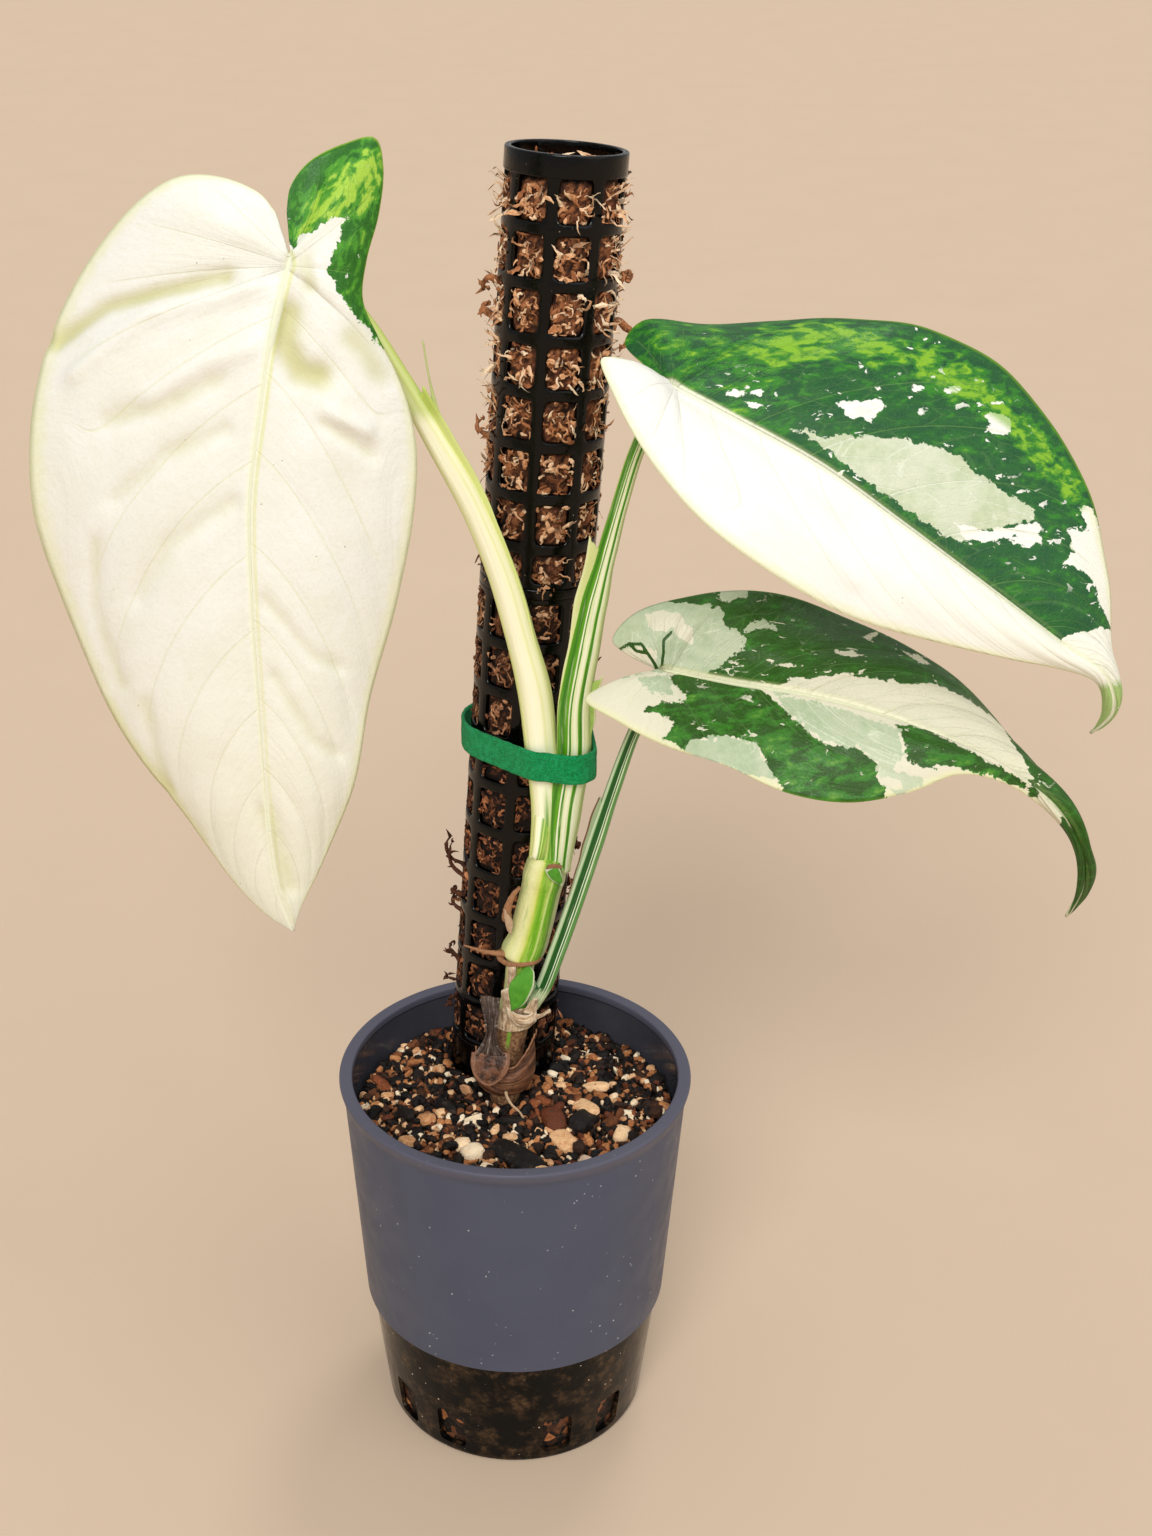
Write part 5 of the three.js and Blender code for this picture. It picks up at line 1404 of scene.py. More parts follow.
STEM_PATH = Curve([
    [-4, 3, 88], [-3.4, 3.6, 122], [-2.2, 3.8, 138], [-0.6, 4, 150], [1.0, 4.4, 164], [1.7, 4.7, 172],
    [2.5, 4.8, 176.5], [4.4, 5, 182], [6.3, 5.3, 190], [8, 5.6, 198], [10, 5.9, 208], [10.9, 6, 213]])
STEM_WIDTHS = [(0, 4), (0.3, 5), (0.53, 5.3), (0.60, 4.6), (0.68, 4.7), (0.705, 7.0), (0.78, 6.7), (0.93, 6.5),
               (0.975, 6.6), (1, 5.4)]
STEM_NODES = [(0.53, 0.8), (0.94, 0.5)]
STALKS = {
    "petiole_left": {
        "path": [[9, 6.8, 209.4], [10.4, 7, 230], [8.5, 7.5, 250], [6, 6, 272], [2, 3, 290], [-4, -2, 314],
                 [-13, -8, 339], [-23, -14, 360], [-32, -19, 378], [-45, -24, 400], [-55, -27, 410],
                 [-61, -28.4, 409.5]],
        "across": [(0, 4.6), (0.12, 5.2), (0.27, 5.3), (0.38, 4.6), (0.6, 4), (0.8, 2.9), (1, 2.1)],
        "deep": [(0, 4.4), (0.12, 5), (0.27, 5), (0.38, 4.5), (0.6, 3.8), (0.8, 2.9), (1, 2.1)],
        "wings": [(0.28, 0.76, 25, [(0, 0), (0.4, 0.6), (0.65, 1.4), (1, 2.4)], 3)],
        "extra": [([[-20, -12.6, 357], [-22.7, -13.7, 369], [-24.5, -14.8, 379], [-25.7, -16, 388]], 1.4, 0.25),
                  ([[7.1, 3.0, 213.6], [7.8, 2.5, 217], [8.9, 3.9, 225], [10, 6.6, 236]], 2.2, 3.0)],
    },
    "petiole_upper": {
        "path": [[14.2, 6, 208], [16.1, 4.8, 233], [18.5, 4.6, 250], [18.8, 4.6, 269], [22, 4, 290],
                 [24.4, 3, 304], [27.8, 1.4, 320], [31.4, -0.5, 336], [35, -1.8, 350], [38.4, -2.6, 359],
                 [42.5, -3.6, 367], [47.4, -5, 370.3]],
        "across": [(0, 4), (0.14, 5.6), (0.3, 5.4), (0.45, 4.8), (0.56, 4.2), (0.66, 3), (0.76, 2.5), (1, 2)],
        "deep": [(0, 3.4), (0.14, 4), (0.3, 4.2), (0.45, 3.8), (0.56, 3.4), (0.66, 2.8), (0.76, 2.4), (1, 2)],
        "wings": [(0.3, 0.67, 165, [(0, 0), (0.4, 0.6), (0.75, 2), (1, 3.4)], 3),
                  (0.28, 0.4, 12, [(0, 0), (0.5, 1.8), (1, 2.6)], 3)],
        "extra": [],
    },
    "petiole_lower": {
        "path": [[5.6, 1.4, 158], [9.6, -0.2, 167], [14, -1.2, 181], [19, -1.8, 198], [24.8, -2.4, 219],
                 [30.8, -3, 241], [36.6, -4.4, 261], [41.2, -6, 273], [46, -7.4, 281], [49.6, -7.9, 283.2]],
        "across": [(0, 2.4), (0.1, 2.8), (0.5, 2.8), (0.65, 2.4), (0.85, 2), (1, 1.8)],
        "deep": [(0, 2.4), (0.1, 2.6), (0.5, 2.6), (0.65, 2.3), (0.85, 2), (1, 1.8)],
        "wings": [(0.25, 0.6, 160, [(0, 0), (0.5, 0.8), (0.85, 1.8), (1, 1.4)], 4)],
        "extra": [([[5.2, 0.2, 159.5], [5.9, -0.2, 162], [8.4, -0.6, 167.5]], 1.6, 2.6)],
    },
}


def stripe_paint(name, stops, wander, crisp, seed):
    """A stalk's stripes: colours by the place across it, 0 at its left and 1 at its right."""
    p = Paint(name, Roughness=0.38, Specular_IOR_Level=0.42)
    moved = p.node("ShaderNodeVectorMath", operation="ADD")
    p.put(moved.inputs[0], p.vector("round", (6.0, 6.0, 0.05)))
    p.put(moved.inputs[1], (seed, 0.0, seed))
    lay = moved.outputs[0]
    across = p.line(p.axis(0, p.vector("round")), 0.5, 0.5)
    colour = p.ramp(p.plus(across, p.sway(p.noise(2.6, 3.0, lay), 2.0 * wander)), stops)
    thread = p.noise(1.5, 4.0, lay, 0.7)
    colour = p.mix(p.rise(thread, 0.56, 0.66, 0.0, crisp), colour, rgb(236, 238, 200))
    colour = p.mix(p.rise(thread, 0.44, 0.34, 0.0, crisp * 0.8), colour, rgb(96, 150, 50))
    return p, colour, lay


def make_stalk(name, paint, slot, seed):
    given = STALKS[name]
    line = Curve(given["path"])
    parts = Parts()

    def wide(share):
        return profile(given["across"], share)

    def thick(share):
        return profile(given["deep"], share)

    def relief(share, angle):
        ribs = 0.020 * np.sin(angle * 9 + 2 * np.sin(share * 4)) + 0.014 * np.sin(angle * 17 + 1.3)
        channel = -0.16 * np.exp(-((np.cos(angle - np.pi / 2) - 1) / 0.05) ** 2) * smooth(share, 0.55, 0.8)
        return ribs + channel

    limb(parts, line, 150, 40, wide, thick, relief, wing=0.0)
    for points, first, last in given["extra"]:
        s = np.linspace(0.0, 1.0, 41)
        girth = (first + (last - first) * smooth(s, 0, 0.7)) * smooth(s, -0.06, 0.06)
        limb(parts, Curve(points), 40, 18, girth, girth * 0.8, wing=0.0)
    for wing in given["wings"]:
        stalk_wing(parts, line, wide, thick, wing, seed)
    parts.make("fine_" + name, paint, name, slot)


def stalk_wing(parts, line, wide, thick, wing, seed):
    """One flap of the sheath along a stalk, which hugs the stalk and ends in a ragged tip."""
    start, stop, degrees, heights, lift = wing
    t = np.linspace(0, 1, 90)[:, None]
    k = np.linspace(0.45, 1.0, 12)[None, :]
    share = start + (stop - start) * t
    onward = line.way(share[:, 0])
    right = unit(np.cross(onward, [0.0, -1.0, 0.0]))
    front = unit(np.cross(right, onward))
    reach = profile(heights, t[:, 0])[:, None] * (1 + 0.18 * ripple(seed, t * 24, k * 2))
    outer = 1 + reach / wide(share)
    far = 0.45 + (outer - 0.45) * (k - 0.45) / 0.55
    ragged = 1 + 0.5 * ripple(seed + 5, k * 14, count=3)
    raised = lift * ragged * smooth(t, 0.7, 1.0) * smooth(k, 0.5, 1.0)
    curl = math.radians(degrees) + 0.10 * ripple(seed + 3, t * 14, k) * smooth(k, 0.6, 1.0)
    grid = (line.at(share[:, 0])[:, None]
            + (np.cos(curl) * far * wide(share))[..., None] * right[:, None]
            + (np.sin(curl) * far * thick(share))[..., None] * front[:, None]
            + raised[..., None] * onward[:, None])
    turned = xyz(np.cos(curl) * (1 + 0.1 * k), np.sin(curl), share * line.length)
    edge = smooth(k, 0.86, 1.0) * smooth(t, 0.1, 0.4)
    sheet(parts, grid, 0.7 - 0.45 * smooth(k, 0.9, 1.0), round=turned, wing=edge)
    parts.values.pop("under")


def cream_stalk_paint():
    """Cream with faint green lines, a green tongue at its foot and a green tip on its spike."""
    p, colour, lay = stripe_paint("cream_stalk", [
        (0.0, rgb(206, 220, 124)), (0.07, rgb(232, 238, 164)), (0.16, rgb(250, 250, 208)),
        (0.40, rgb(255, 254, 224)), (0.62, rgb(254, 253, 216)), (0.70, rgb(242, 244, 182)),
        (0.76, rgb(252, 252, 212)),
        (0.92, rgb(242, 244, 184)), (1.0, rgb(216, 228, 142))], 0.05, 0.08, 3.0)
    turned = p.axis(0, p.vector("round"))
    height = p.plus(p.axis(2), p.sway(p.noise(1.2, 3.0, lay), 16.0))
    facing = p.times(p.rise(turned, -0.35, -0.05), p.rise(turned, 1.0, 0.75))
    low = p.times(p.rise(height, 244.0, 224.0), facing)
    tongue = p.ramp(p.noise(1.1, 3.0, lay), [
        (0.35, rgb(70, 142, 10)), (0.5, rgb(130, 184, 34)), (0.66, rgb(206, 220, 110))])
    colour = p.mix(p.times(low, 0.9), colour, tongue)
    spike = p.times(p.rise(p.axis(0), -19.5, -21.5, 0.0, 0.6), p.rise(p.axis(2), 364.0, 370.0))
    colour = p.mix(spike, colour, rgb(176, 200, 70))
    return p.done(colour, p.bump(p.noise(1.4, 4.0, lay), 0.3))


def striped_stalk_paint():
    """Green and white stripes, with a pale edge to the wing and a torn brown tip."""
    green, deep, white, pale = rgb(92, 160, 22), rgb(48, 118, 20), rgb(242, 244, 214), rgb(218, 228, 170)
    p, colour, lay = stripe_paint("striped_stalk", [
        (0.0, rgb(216, 222, 150)), (0.05, green), (0.16, deep), (0.27, green), (0.315, green), (0.325, white),
        (0.365, white), (0.375, green), (0.42, deep), (0.435, pale), (0.52, white), (0.62, pale), (0.64, green),
        (0.70, deep), (0.735, green), (0.75, white), (0.84, pale), (0.90, rgb(206, 220, 160)),
        (1.0, rgb(160, 192, 96))], 0.10, 0.30, 7.0)
    colour = p.mix(p.rise(p.value("wing"), 0.2, 0.9, 0.0, 0.9), colour, rgb(226, 228, 176))
    torn = p.times(p.rise(p.value("wing"), 0.3, 0.9), p.rise(p.axis(2), 330.0, 337.0))
    colour = p.mix(torn, colour, rgb(196, 168, 116))
    return p.done(colour, p.bump(p.noise(1.2, 4.0, lay), 0.35))


def dark_stalk_paint():
    """Dark green with pale stripes, a brown dry edge to the wing and a pale foot."""
    white, deep, leaf = rgb(204, 220, 186), rgb(18, 80, 26), rgb(66, 134, 50)
    p, colour, lay = stripe_paint("dark_striped_stalk", [
        (0.0, rgb(150, 170, 130)), (0.06, white), (0.17, rgb(184, 204, 160)), (0.19, leaf), (0.25, deep),
        (0.46, deep), (0.49, leaf), (0.50, rgb(232, 240, 214)), (0.54, white), (0.55, deep), (0.63, leaf),
        (0.64, rgb(216, 230, 196)), (0.70, white), (0.72, leaf), (0.82, rgb(92, 154, 74)), (0.92, leaf),
        (0.94, rgb(150, 180, 130)), (1.0, rgb(96, 140, 80))], 0.08, 0.26, 19.0)
    dry = p.mix(p.noise(2.0, 3.0), rgb(70, 36, 26), rgb(128, 84, 60))
    colour = p.mix(p.rise(p.value("wing"), 0.1, 0.8, 0.0, 0.95), colour, dry)
    foot = p.rise(p.plus(p.axis(2), p.sway(p.noise(2.5, 3.0), 4.0)), 168.0, 163.0, 0.0, 0.8)
    colour = p.mix(foot, colour, rgb(214, 226, 178))
    return p.done(colour, p.bump(p.noise(1.2, 4.0, lay), 0.35))


def patch(parts, left, right, bulge, seed, crumple=0.25, rows=26, columns=14, rims=2, **values):
    """A thin flap between two lines of points, bulged to the front, with its rim as the value "margin"."""
    t = np.linspace(0, 1, rows)
    k = np.linspace(0, 1, columns)[None, :]
    one, two = Curve(left).at(t)[:, None], Curve(right).at(t)[:, None]
    grid = one + (two - one) * k[..., None]
    t = t[:, None]
    front = bulge * np.sin(np.pi * k) * (0.4 + 0.6 * np.sin(np.pi * np.clip(t, 0, 1)))
    folds = crumple * ripple(seed, t * 5, k * 4)
    grid = grid + (front + folds)[..., None] * np.array([0.0, -1.0, 0.25])
    grid = grid + crumple * xyz(ripple(seed + 1, t * 11, k * 2), 0.0, ripple(seed + 2, t * 3, k * 9))
    to_side = np.minimum(1 - k, k if rims == 2 else 1.0)
    to_end = 0.6 * np.minimum(t, 1 - t) + 0.3 * (2 - rims)
    margin = smooth(np.minimum(to_side, to_end), 0.16, 0.0)
    sheet(parts, grid, 0.45, margin=margin, round=xyz(12 * t, 7 * k, 0.0), **values)


def stem_paint():
    """Brown and corky below, striped green above. The value "bud" marks scales, roots and papery bits."""
    p = Paint("stem_skin", Roughness=0.45, Specular_IOR_Level=0.38)
    z = p.axis(2)
    lay = p.vector("round", (6.0, 6.0, 0.07))
    lengthwise = p.noise(1.3, 4.0, lay, 0.65)
    across = p.line(p.axis(0, p.vector("round")), 0.5, 0.5)
    across = p.plus(across, p.sway(p.noise(3.0, 2.0, lay), 0.12))
    height = p.plus(z, p.sway(p.noise(3.0, 4.0), 5.0))
    speckle = p.noise(1.3, 5.0, rough=0.7)
    brown = p.ramp(speckle, [(0.28, rgb(58, 38, 24)), (0.5, rgb(122, 84, 54)), (0.72, rgb(186, 146, 104))])
    young = p.ramp(across, [
        (0.0, rgb(178, 184, 124)), (0.07, rgb(214, 216, 150)), (0.22, rgb(232, 230, 172)),
        (0.36, rgb(216, 218, 132)), (0.41, rgb(186, 200, 78)), (0.45, rgb(134, 184, 40)),
        (0.55, rgb(96, 160, 18)), (0.63, rgb(120, 176, 34)), (0.67, rgb(202, 216, 130)),
        (0.71, rgb(104, 164, 30)), (0.84, rgb(86, 146, 34)), (0.90, rgb(190, 206, 140)),
        (1.0, rgb(206, 208, 164))])
    young = p.mix(p.rise(lengthwise, 0.5, 0.68, 0.0, 0.45), young, rgb(206, 216, 116))
    young = p.mix(p.rise(lengthwise, 0.46, 0.34, 0.0, 0.4), young, rgb(100, 158, 30))
    streak = p.rise(p.math("ABSOLUTE", p.minus(across, 0.40)), 0.09, 0.05)
    old = p.mix(p.times(streak, p.rise(z, 141.0, 146.0)), brown, rgb(118, 158, 50))
    colour = p.mix(p.rise(height, 155.0, 158.0), old, young)
    scale = p.mix(p.noise(2.0, 3.0), rgb(52, 134, 22), rgb(104, 176, 52))
    scale = p.mix(p.rise(p.value("margin"), 0.3, 0.75), scale, rgb(222, 230, 192))
    root = p.mix(speckle, rgb(112, 66, 42), rgb(196, 144, 100))
    papery = p.mix(p.noise(1.5, 4.0, rough=0.7), rgb(170, 126, 88), rgb(232, 204, 168))
    for low, high, tone in ((0.4, 0.6, scale), (-0.4, -0.6, root), (-1.4, -1.6, papery)):
        colour = p.mix(p.rise(p.value("bud"), low, high), colour, tone)
    rough_skin = p.bump(speckle, 0.3, p.bump(lengthwise, 0.3))
    return p.done(colour, rough_skin, p.rise(z, 155.0, 161.0, 0.75, 0.4))


# The values of "bud" on the stem's parts.
SCALE, ROOT, PAPERY = 1.0, -1.0, -2.0

# Roots and buds on the stem: points, half width at the start and the end, and what they are.
STEM_SHOOTS = [
    ([[-1, 3, 177.5], [-5.2, 1.4, 178.6], [-10, 1, 179.6], [-17, 2, 181.4]], 1.3, 0.25, ROOT),
    ([[0.4, 1, 156], [1.6, -1.2, 162], [4, -1, 172]], 3.0, 1.0, SCALE),
    ([[-3.4, -4, 128.4], [-2.6, -7.5, 127], [-1, -9.6, 125.4], [1.7, -11.4, 123.6], [3.6, -14.5, 121.4]],
     0.6, 0.25, PAPERY),
    ([[-2.8, 2.4, 191], [-2.4, 1.4, 196], [-0.6, 1.2, 201], [1.6, 1.0, 204]], 1.7, 0.6, ROOT),
]

# Scales and papery bits on the stem: the left line, the right line, and how patch makes them.
STEM_PATCHES = [
    ([[-1.2, -4.4, 160], [-1.7, -4.2, 165], [-1.9, -3.9, 169.4],
      [-0.3, -3.4, 171.9], [1.7, -3, 174], [4.0, -2.6, 176]],
     [[-0.9, -4.6, 160], [2.3, -4.8, 162.2], [5, -4.8, 166.5],
      [6.3, -4.6, 170.7], [6.3, -3.8, 174.5], [4.6, -2.6, 176]],
     {"bulge": 0.8, "seed": 81, "crumple": 0.2, "rims": 1, "bud": SCALE}),
    ([[9.7, -1.4, 212.2], [10.6, -1.9, 210], [13, -1.9, 207.6], [15.3, -1.2, 205.9]],
     [[12.3, -1.5, 213.9], [14, -1.7, 213.2], [15, -1.4, 210], [15.4, -1.2, 206.2]],
     {"bulge": 0.6, "seed": 83, "crumple": 0.1, "bud": SCALE}),
    ([[9.9, -1.9, 212.4], [12, -2.1, 212.9], [14.9, -1.6, 212.4]],
     [[10.6, -1.7, 213.6], [12.6, -1.8, 214.3], [15.2, -1.2, 213.4]],
     {"bulge": 0.3, "seed": 84, "crumple": 0.1, "rows": 16, "columns": 6, "bud": ROOT}),
    ([[-3.6, 0.6, 196.4], [-3.4, -0.2, 193], [-2.6, -0.8, 189]],
     [[-2.2, -0.4, 194.6], [-0.8, -1.0, 192.4], [-1.2, -1.2, 187.4]],
     {"bulge": 0.2, "seed": 85, "crumple": 0.1, "rows": 16, "columns": 6, "bud": PAPERY}),
]


def corky_collar(parts):
    """The ring under the long joint of the stem."""
    turn = np.linspace(0, 2 * np.pi, 60)
    middle = STEM_PATH.at(np.array(0.702))
    lumps = 0.5 * ripple(71, 3 * np.cos(turn), 3 * np.sin(turn))
    ring = xyz(middle[0] - 0.5 + 7.0 * np.cos(turn), middle[1] + 6.9 * np.sin(turn),
               middle[2] + 0.4 * np.cos(turn) + lumps)
    s = np.linspace(0, 1, 121)
    swell = 0.5 * np.exp(-((s - 0.52) / 0.05) ** 2)
    limb(parts, Curve(ring, 3), 120, 10, 0.9 + swell + 0.18 * ripple(72, s * 60, count=4),
         0.75 + swell + 0.15 * ripple(73, s * 50, count=4), bud=ROOT, margin=0.0)


def make_stem():
    parts = Parts()

    def radius(share):
        size = profile(STEM_WIDTHS, share)
        for at, swell in STEM_NODES:
            size = size + swell * np.exp(-((share - at) / 0.022) ** 2)
        return size

    def relief(share, angle):
        worn = ripple(3, share * 90, np.cos(angle) * 3, np.sin(angle) * 3)
        ridge = 0.05 * np.exp(-((share - 0.71) / 0.02) ** 2) * -np.cos(angle)
        return 0.05 * smooth(0.60 - share, 0, 0.05) * worn + 0.012 * np.sin(angle * 8) + ridge

    limb(parts, STEM_PATH, 200, 40, radius, radius, relief, bud=0.0, margin=0.0)
    for points, thick, thin, bud in STEM_SHOOTS:
        s = np.linspace(0, 1, 31)
        size = (thick + (thin - thick) * s) * (1 + 0.12 * ripple(9, s * 30, count=3))
        limb(parts, Curve(points), 30, 14, size, size, bud=bud, margin=0.0)
    corky_collar(parts)
    for left, right, how in STEM_PATCHES:
        patch(parts, left, right, **how)
    parts.values.pop("under")
    parts.make("fine_stem", stem_paint(), "stem", "stem")


# The sheaths.

def stem_sheath(parts, rows, count, columns, crumple, ragged, seed, thickness=0.5, **values):
    """A papery sheath round the stem, from rows of (height, start angle, end angle, distance)."""
    given = np.array(rows, float)
    height = np.linspace(given[0, 0], given[-1, 0], count)
    start, stop, away = (np.interp(height, given[:, 0], given[:, k]) for k in (1, 2, 3))
    start = start + ragged * ripple(seed, height * 0.9)
    stop = stop + ragged * ripple(seed + 1, height * 1.1)
    t = np.linspace(0, 1, columns)[None, :]
    angle = np.radians(start[:, None] + (stop - start)[:, None] * t)
    order = np.argsort(STEM_PATH.points[:, 2])
    levels = STEM_PATH.points[order, 2]
    middle = np.stack([np.interp(height, levels, STEM_PATH.points[order, k]) for k in (0, 1)], -1)
    fold = crumple * (ripple(seed + 2, angle * 2.4, height[:, None] * 0.30)
                      + 0.5 * ripple(seed + 3, angle * 7, height[:, None] * 0.8))
    far = away[:, None] + fold
    up = height[:, None] + 0.6 * crumple * ripple(seed + 4, angle * 3, count=4)
    grid = xyz(middle[:, None, 0] + far * np.cos(angle), middle[:, None, 1] + far * np.sin(angle), up)
    if "round" in values:
        values["round"] = xyz(height[:, None], angle * 7, 0.0)
    sheet(parts, grid, thickness, **values)


def papery_paint(name, dark, mid, light, gloss):
    p = Paint(name, Roughness=0.5, Specular_IOR_Level=0.45)
    fibre = p.noise(1.0, 5.0, p.vector("round", (0.16, 1.0, 1.0)), 0.65, 0.5)
    colour = p.ramp(fibre, [(0.3, dark), (0.5, mid), (0.68, light)])
    blotch = p.noise(4.0, 4.0)
    colour = p.mix(p.rise(blotch, 0.5, 0.7, 0.0, 0.6), colour, dark)
    colour = p.mix(p.rise(p.value("margin"), 0.55, 0.95, 0.0, 0.6), colour, light)
    ashen = p.ramp(fibre, [(0.36, rgb(30, 22, 19)), (0.5, rgb(66, 54, 48)), (0.6, rgb(104, 92, 84)),
                           (0.68, rgb(196, 188, 178))])
    colour = p.mix(p.rise(p.value("ashen"), 0.2, 0.9, 0.0, 0.92), colour, ashen)
    tan = p.mix(p.rise(blotch, 0.42, 0.58), rgb(46, 27, 18), rgb(112, 70, 46))
    tan = p.mix(p.rise(p.value("margin"), 0.4, 0.9, 0.0, 0.6), tan, rgb(158, 110, 80))
    colour = p.mix(p.rise(p.value("ashen"), -0.2, -0.9, 0.0, 0.9), colour, tan)
    crumpled = p.bump(fibre, 0.7, p.bump(blotch, 1.2))
    return p.done(colour, crumpled, p.rise(blotch, 0.3, 0.7, gloss, gloss + 0.2))


CUFF_FOOT = 124.2


def dry_cuff(dry):
    """The brown cuff round the foot of the stem, open at the back, with a spiky rim."""
    t = np.linspace(0, 1, 46)[:, None]
    degrees = np.linspace(-208, 24, 110)[None, :]
    rim = np.interp(degrees, [-208, -175, -140, -100, -70, -40, -15, 5, 24],
                    [137, 141, 138.5, 136.5, 138.5, 143.5, 147, 146, 141])
    rim = rim + 0.7 * ripple(91, degrees * 0.12)
    spiky = 1.6 * np.maximum(0, ripple(92, degrees * 0.35, count=4)) * smooth(degrees, -60, -20)
    far = np.interp(t, [0, 0.12, 0.35, 0.65, 0.9, 1], [5.6, 8.2, 9.6, 9.8, 9.3, 9.5]) + 0 * degrees
    far = far + 0.35 * ripple(93, degrees * 0.05, t * 3) + 0.16 * ripple(94, degrees * 0.16, t * 9)
    far = far + 0.8 * smooth(t, 0.8, 1) * smooth(degrees, -50, -10)
    angle = np.radians(degrees)
    side = -2.9 + far * np.cos(angle) - 1.2 * smooth(-np.cos(angle), 0, 1)
    grid = xyz(side, 3.6 + far * np.sin(angle), CUFF_FOOT + (rim + spiky - CUFF_FOOT) * t)
    swirl = xyz(degrees * 0.06, t * 12 + degrees * 0.03, 0.0)
    sheet(dry, grid, 0.5, round=swirl, ashen=0.0, margin=smooth(t, 0.93, 1.0) + 0 * degrees)


def curled_lobe(dry):
    """The rolled inner lobe of the cuff: a hollow curl with a fat rim."""
    left = [[-13.6, -4.4, 144.0], [-14.4, -6.6, 140.6], [-13.4, -8.2, 136.6], [-11.0, -8.6, 133.8]]
    right = [[-1.8, -5.2, 143.6], [-2.6, -7.4, 140], [-4.6, -8.6, 136.4], [-8.0, -8.8, 133.4]]
    patch(dry, left, right, -1.1, 95, 0.35, 30, 26, ashen=-1.0)
    rim = Curve([[-2.0, -5.4, 143.4], [-2.4, -7.6, 139.8], [-5.0, -9.0, 135.6], [-9.0, -9.2, 133.4],
                 [-12.6, -8.6, 135.6], [-14.4, -7.0, 139.6], [-14.0, -4.8, 143.6]])
    share = np.linspace(0, 1, 61)
    limb(dry, rim, 60, 10, 0.55 + 0.25 * ripple(96, share * 14), 0.5 + 0.2 * ripple(97, share * 12),
         ashen=-1.0, margin=0.9)


def ashen_flap(dry):
    """The grey flap above the cuff, with a thick edge on both sides."""
    left = [[-11.6, -1.8, 164.5], [-11.2, -3.0, 161], [-9.8, -3.8, 155],
            [-9.6, -4.2, 150], [-11.6, -4.6, 146], [-13.6, -4.8, 142]]
    right = [[-5.4, -3.0, 164], [-5.2, -4.0, 160], [-5.9, -4.6, 155],
             [-6.3, -4.8, 150.5], [-5.4, -5.2, 146.4], [-3.0, -5.4, 142.6]]
    patch(dry, left, right, 0.9, 98, 0.45, 60, 24, ashen=1.0)
    share = np.linspace(0, 1, 41)
    for side, start in ((-1, [-11.4, -2.4, 163.4]), (1, [-5.4, -3.4, 163.4])):
        edge = [start, [-8.0 + side * 1.9, -4.6, 156], [-8.0 + side * 1.5, -5.0, 151],
                [-8.4 + side * 2.6, -5.4, 146], [-8.2 + side * 4.6, -5.6, 142.8]]
        limb(dry, Curve(edge), 40, 8, 0.42 + 0.1 * ripple(99, share * 11), 0.42 + 0.1 * ripple(100, share * 9),
             ashen=1.0, margin=0.8)


def make_dry_sheath():
    dry = Parts()
    dry_cuff(dry)
    curled_lobe(dry)
    ashen_flap(dry)
    dry.values.pop("under")
    paint = papery_paint("dry_sheath_skin", rgb(46, 26, 17), rgb(106, 66, 42), rgb(168, 116, 80), 0.3)
    dry.make("fine_dry_sheath", paint, "dry_sheath", "dry_sheath")


# Flaps of the torn sheath: the left line, the right line, bulge, seed, crumple, rows and columns.
TORN_FLAPS = [
    ([[-3.7, -1.8, 158.4], [-4.3, -2.0, 163.2], [-4.5, -2.4, 166.6]],
     [[-1.0, -4.2, 158.6], [-1.3, -4.0, 164.1], [-1.9, -3.6, 168.6]], 0.5, 101, 0.2, 26, 14),
    ([[-2.6, -1.6, 162], [-2.4, -1.2, 170], [-2.2, -0.8, 176]],
     [[-0.6, -3.4, 163.3], [-0.1, -3.0, 170.9], [0.4, -2.2, 176]], 0.4, 103, 0.12, 26, 14),
    ([[2.8, -4.8, 159.6], [4.2, -5, 162.4], [6.6, -4.8, 165]],
     [[7.0, -4.4, 158.6], [7.4, -4.6, 162], [7.3, -4.6, 165.2]], 0.6, 105, 0.2, 26, 14),
    ([[5.6, -4.2, 158.8], [8.4, -5, 158.8], [11.8, -5.4, 160.9]],
     [[5.6, -4.2, 155.6], [8.4, -5, 157.4], [11.9, -5.4, 160.3]], 0.4, 107, 0.25, 26, 14),
    ([[-3.0, -3.2, 160.6], [0.6, -5.4, 159.4], [4.4, -5.6, 159], [7.2, -4.2, 160]],
     [[-1.8, -3.2, 155.6], [0.8, -5.2, 154], [4.2, -5.2, 153.8], [6.8, -4, 155.4]], 0.9, 109, 0.5, 30, 16),
]


def make_torn_sheath():
    torn = Parts()
    rows = [[150, -150, 60, 6.3], [153, -150, 50, 6.5], [156.5, -140, 35, 6.9], [159.5, -130, 0, 7.6]]
    stem_sheath(torn, rows, 44, 80, 0.45, 8.0, 37, 0.4, ashen=0.0, margin=0.0, round=None)
    for flap in TORN_FLAPS:
        patch(torn, *flap, ashen=0.0)
    torn.values.pop("under")
    paint = papery_paint("torn_sheath_skin", rgb(112, 70, 44), rgb(214, 184, 146), rgb(246, 232, 206), 0.5)
    torn.make("fine_torn_sheath", paint, "torn_sheath", "torn_sheath")


# The strap.

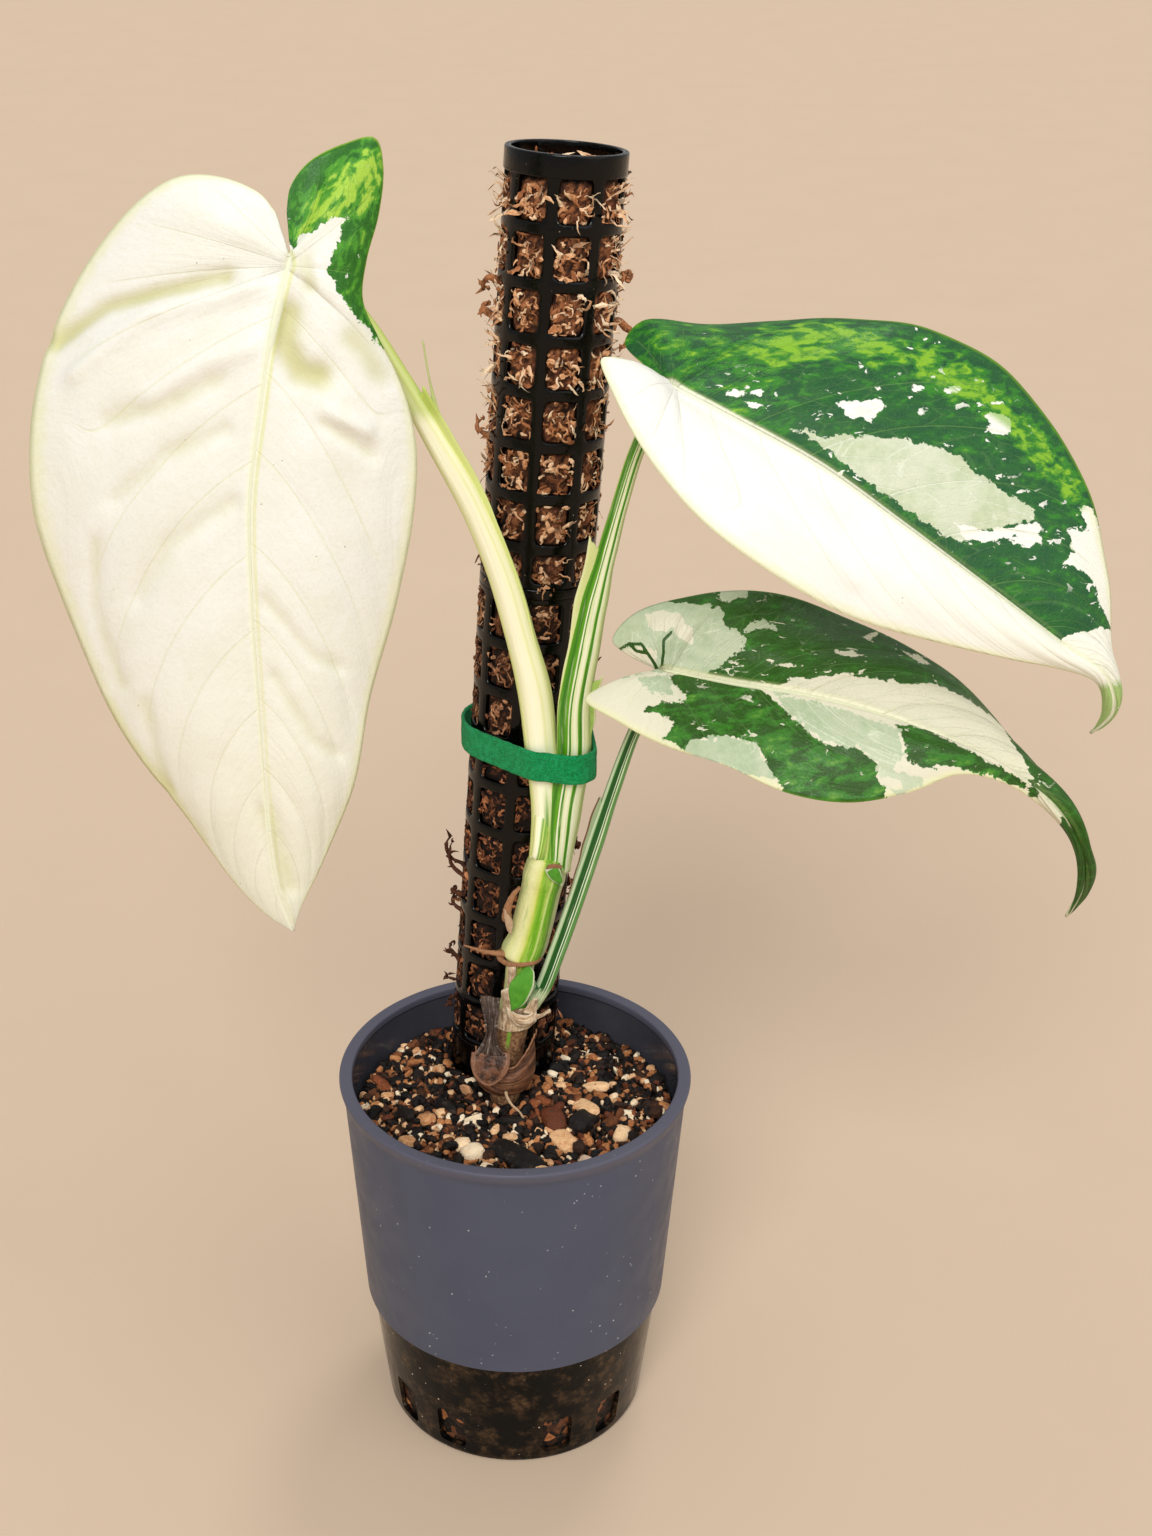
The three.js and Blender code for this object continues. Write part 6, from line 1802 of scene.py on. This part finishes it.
def strap_outline(clearance, count):
    """The line drawn tight round the pole and the two stalks, evenly spaced, with its outward directions."""
    share = (STRAP_LEVEL - POLE_FOOT[2]) / (POLE_TOP[2] - POLE_FOOT[2])
    pole = POLE_FOOT + (POLE_TOP - POLE_FOOT) * share
    circles = [(pole[0], pole[1], POLE_RADIUS + 1.6)]
    for name, room in (("petiole_left", 1.2), ("petiole_upper", 0.9)):
        line = Curve(STALKS[name]["path"])
        near = np.argmax(line.points[:, 2] >= STRAP_LEVEL)
        size = float(profile(STALKS[name]["across"], line.shares[near]))
        circles.append((line.points[near, 0], line.points[near, 1], size + room))
    turn = np.linspace(0, 2 * np.pi, 181)[:-1]
    ring = np.stack([np.cos(turn), np.sin(turn)], -1)
    cloud = np.concatenate([[x, y] + (r + clearance) * ring for x, y, r in circles])
    cloud = cloud[np.lexsort((cloud[:, 1], cloud[:, 0]))]

    def chain(points):
        kept = []
        for point in points:
            while len(kept) > 1:
                last, new = kept[-1] - kept[-2], point - kept[-2]
                if last[0] * new[1] - last[1] * new[0] > 0:
                    break
                kept.pop()
            kept.append(point)
        return kept[:-1]

    hull = np.array(chain(cloud) + chain(cloud[::-1]))
    closed = np.vstack([hull, hull[:1]])
    steps = np.concatenate([[0], np.cumsum(np.linalg.norm(np.diff(closed, axis=0), axis=1))])
    even = np.linspace(0, steps[-1], count, endpoint=False)
    line = np.stack([np.interp(even, steps, closed[:, k]) for k in (0, 1)], -1)
    ahead = unit(np.roll(line, -1, 0) - np.roll(line, 1, 0))
    return line, np.stack([ahead[:, 1], -ahead[:, 0]], -1)


def felt_paint():
    p = Paint("green_felt", Roughness=0.95, Specular_IOR_Level=0.15, Sheen_Weight=0.08, Sheen_Roughness=0.5)
    fuzz = p.noise(0.5, 4.0, rough=0.8)
    nap = p.noise(2.6, 4.0)
    colour = p.mix(p.rise(fuzz, 0.35, 0.65), rgb(0, 98, 50), rgb(10, 176, 98))
    colour = p.mix(p.rise(nap, 0.45, 0.72, 0.0, 0.5), colour, rgb(40, 176, 112))
    return p.done(colour, p.bump(fuzz, 0.6, p.bump(nap, 0.3)))


def make_tie():
    count = 260
    line, outward = strap_outline(GAP + 0.6, count)
    # extra points up the two faces, so that the felt can wave a little
    face = np.linspace(-4.4, 4.4, 13)
    section = np.array([(0.6, v) for v in face] + [(0.45, 4.85), (0.0, 5.0), (-0.45, 4.85)]
                       + [(-0.6, v) for v in face[::-1]] + [(-0.45, -4.85), (0.0, -5.0), (0.45, -4.85)])
    pick = np.random.default_rng(61)
    jitter = pick.uniform(-0.06, 0.06, (count, len(section)))
    wave = 0.15 * ripple(62, np.arange(count)[:, None] * 0.10, section[None, :, 1] * 0.4)
    far = section[None, :, 0] + jitter + wave * 0.5
    up = section[None, :, 1] + 0.18 * ripple(63, np.arange(count)[:, None] * 0.35) + jitter
    local = np.stack([line[:, None, 0] + far * outward[:, None, 0],
                      line[:, None, 1] + far * outward[:, None, 1],
                      np.broadcast_to(up, far.shape)], -1)
    local = local - np.array([0.0, 25.0, 0.0])
    tilt = math.radians(-3.0)
    y = local[..., 1] * math.cos(tilt) - local[..., 2] * math.sin(tilt)
    z = local[..., 1] * math.sin(tilt) + local[..., 2] * math.cos(tilt)
    points = np.stack([local[..., 0], y + 25.0, z + STRAP_LEVEL], -1)
    parts = Parts()
    faces = grid_faces(count, len(section), wrap=True)
    last, width = (count - 1) * len(section), len(section)
    faces += [[last + k, last + (k + 1) % width, (k + 1) % width, k] for k in range(width)]
    parts.add(points, faces)
    parts.make("fine_tie", felt_paint(), "tie", "tie")


# Everything together.

make_sleeve()
make_inner_pot()
make_soil()
net = net_paint()
make_net("fine_pole_lower", "pole_mesh_lower", net, ring_levels(LOWER), POLE_BURIED, LOWER["end"])
joint = LOWER["end"] + GAP
upper_rings = [joint, *ring_levels(UPPER), UPPER["collar"] + RING_HEIGHT / 2]
make_net("fine_pole_upper", "pole_mesh_upper", net, upper_rings, joint, UPPER["end"], collar=True)
make_coir()

make_leaf("leaf_left", 0.7, 101, "leaf_cream", LeafPaint(
    "cream_leaf",
    cream=rgb(238, 238, 231), shadow=rgb(200, 198, 142), dark=rgb(30, 98, 18), mid=rgb(74, 150, 34),
    lime=rgb(164, 204, 66), sage=rgb(183, 201, 173), stretch=(2.0, 1.7, 0.42), turn=-32.0, bright_bias=0.0))
make_leaf("leaf_upper", 0.5, 111, "leaf_marbled", LeafPaint(
    "marbled_leaf_upper", cream=rgb(240, 239, 232), shadow=rgb(224, 220, 196), dark=rgb(18, 78, 38),
    mid=rgb(46, 124, 28), lime=rgb(128, 178, 34), sage=rgb(198, 206, 172), stretch=(0.6, 1.5, 1.5), turn=12.0,
    bright_bias=-0.055))
# painted shade: the lower leaf's cream, shadow and sage are painted darker than the upper leaf's, as if less lit
make_leaf("leaf_lower", 0.5, 121, "leaf_marbled", LeafPaint(
    "marbled_leaf_lower_shaded", cream=rgb(221, 217, 194), shadow=rgb(200, 196, 160), dark=rgb(36, 76, 6),
    mid=rgb(50, 118, 26), lime=rgb(98, 150, 46), sage=rgb(180, 194, 160), stretch=(0.7, 1.3, 1.3), turn=8.0,
    bright_bias=-0.06))
make_stem()
make_stalk("petiole_left", cream_stalk_paint(), "petiole_pale", 201)
make_stalk("petiole_upper", striped_stalk_paint(), "petiole_striped", 211)
make_stalk("petiole_lower", dark_stalk_paint(), "petiole_striped", 221)
make_dry_sheath()
make_torn_sheath()
make_tie()
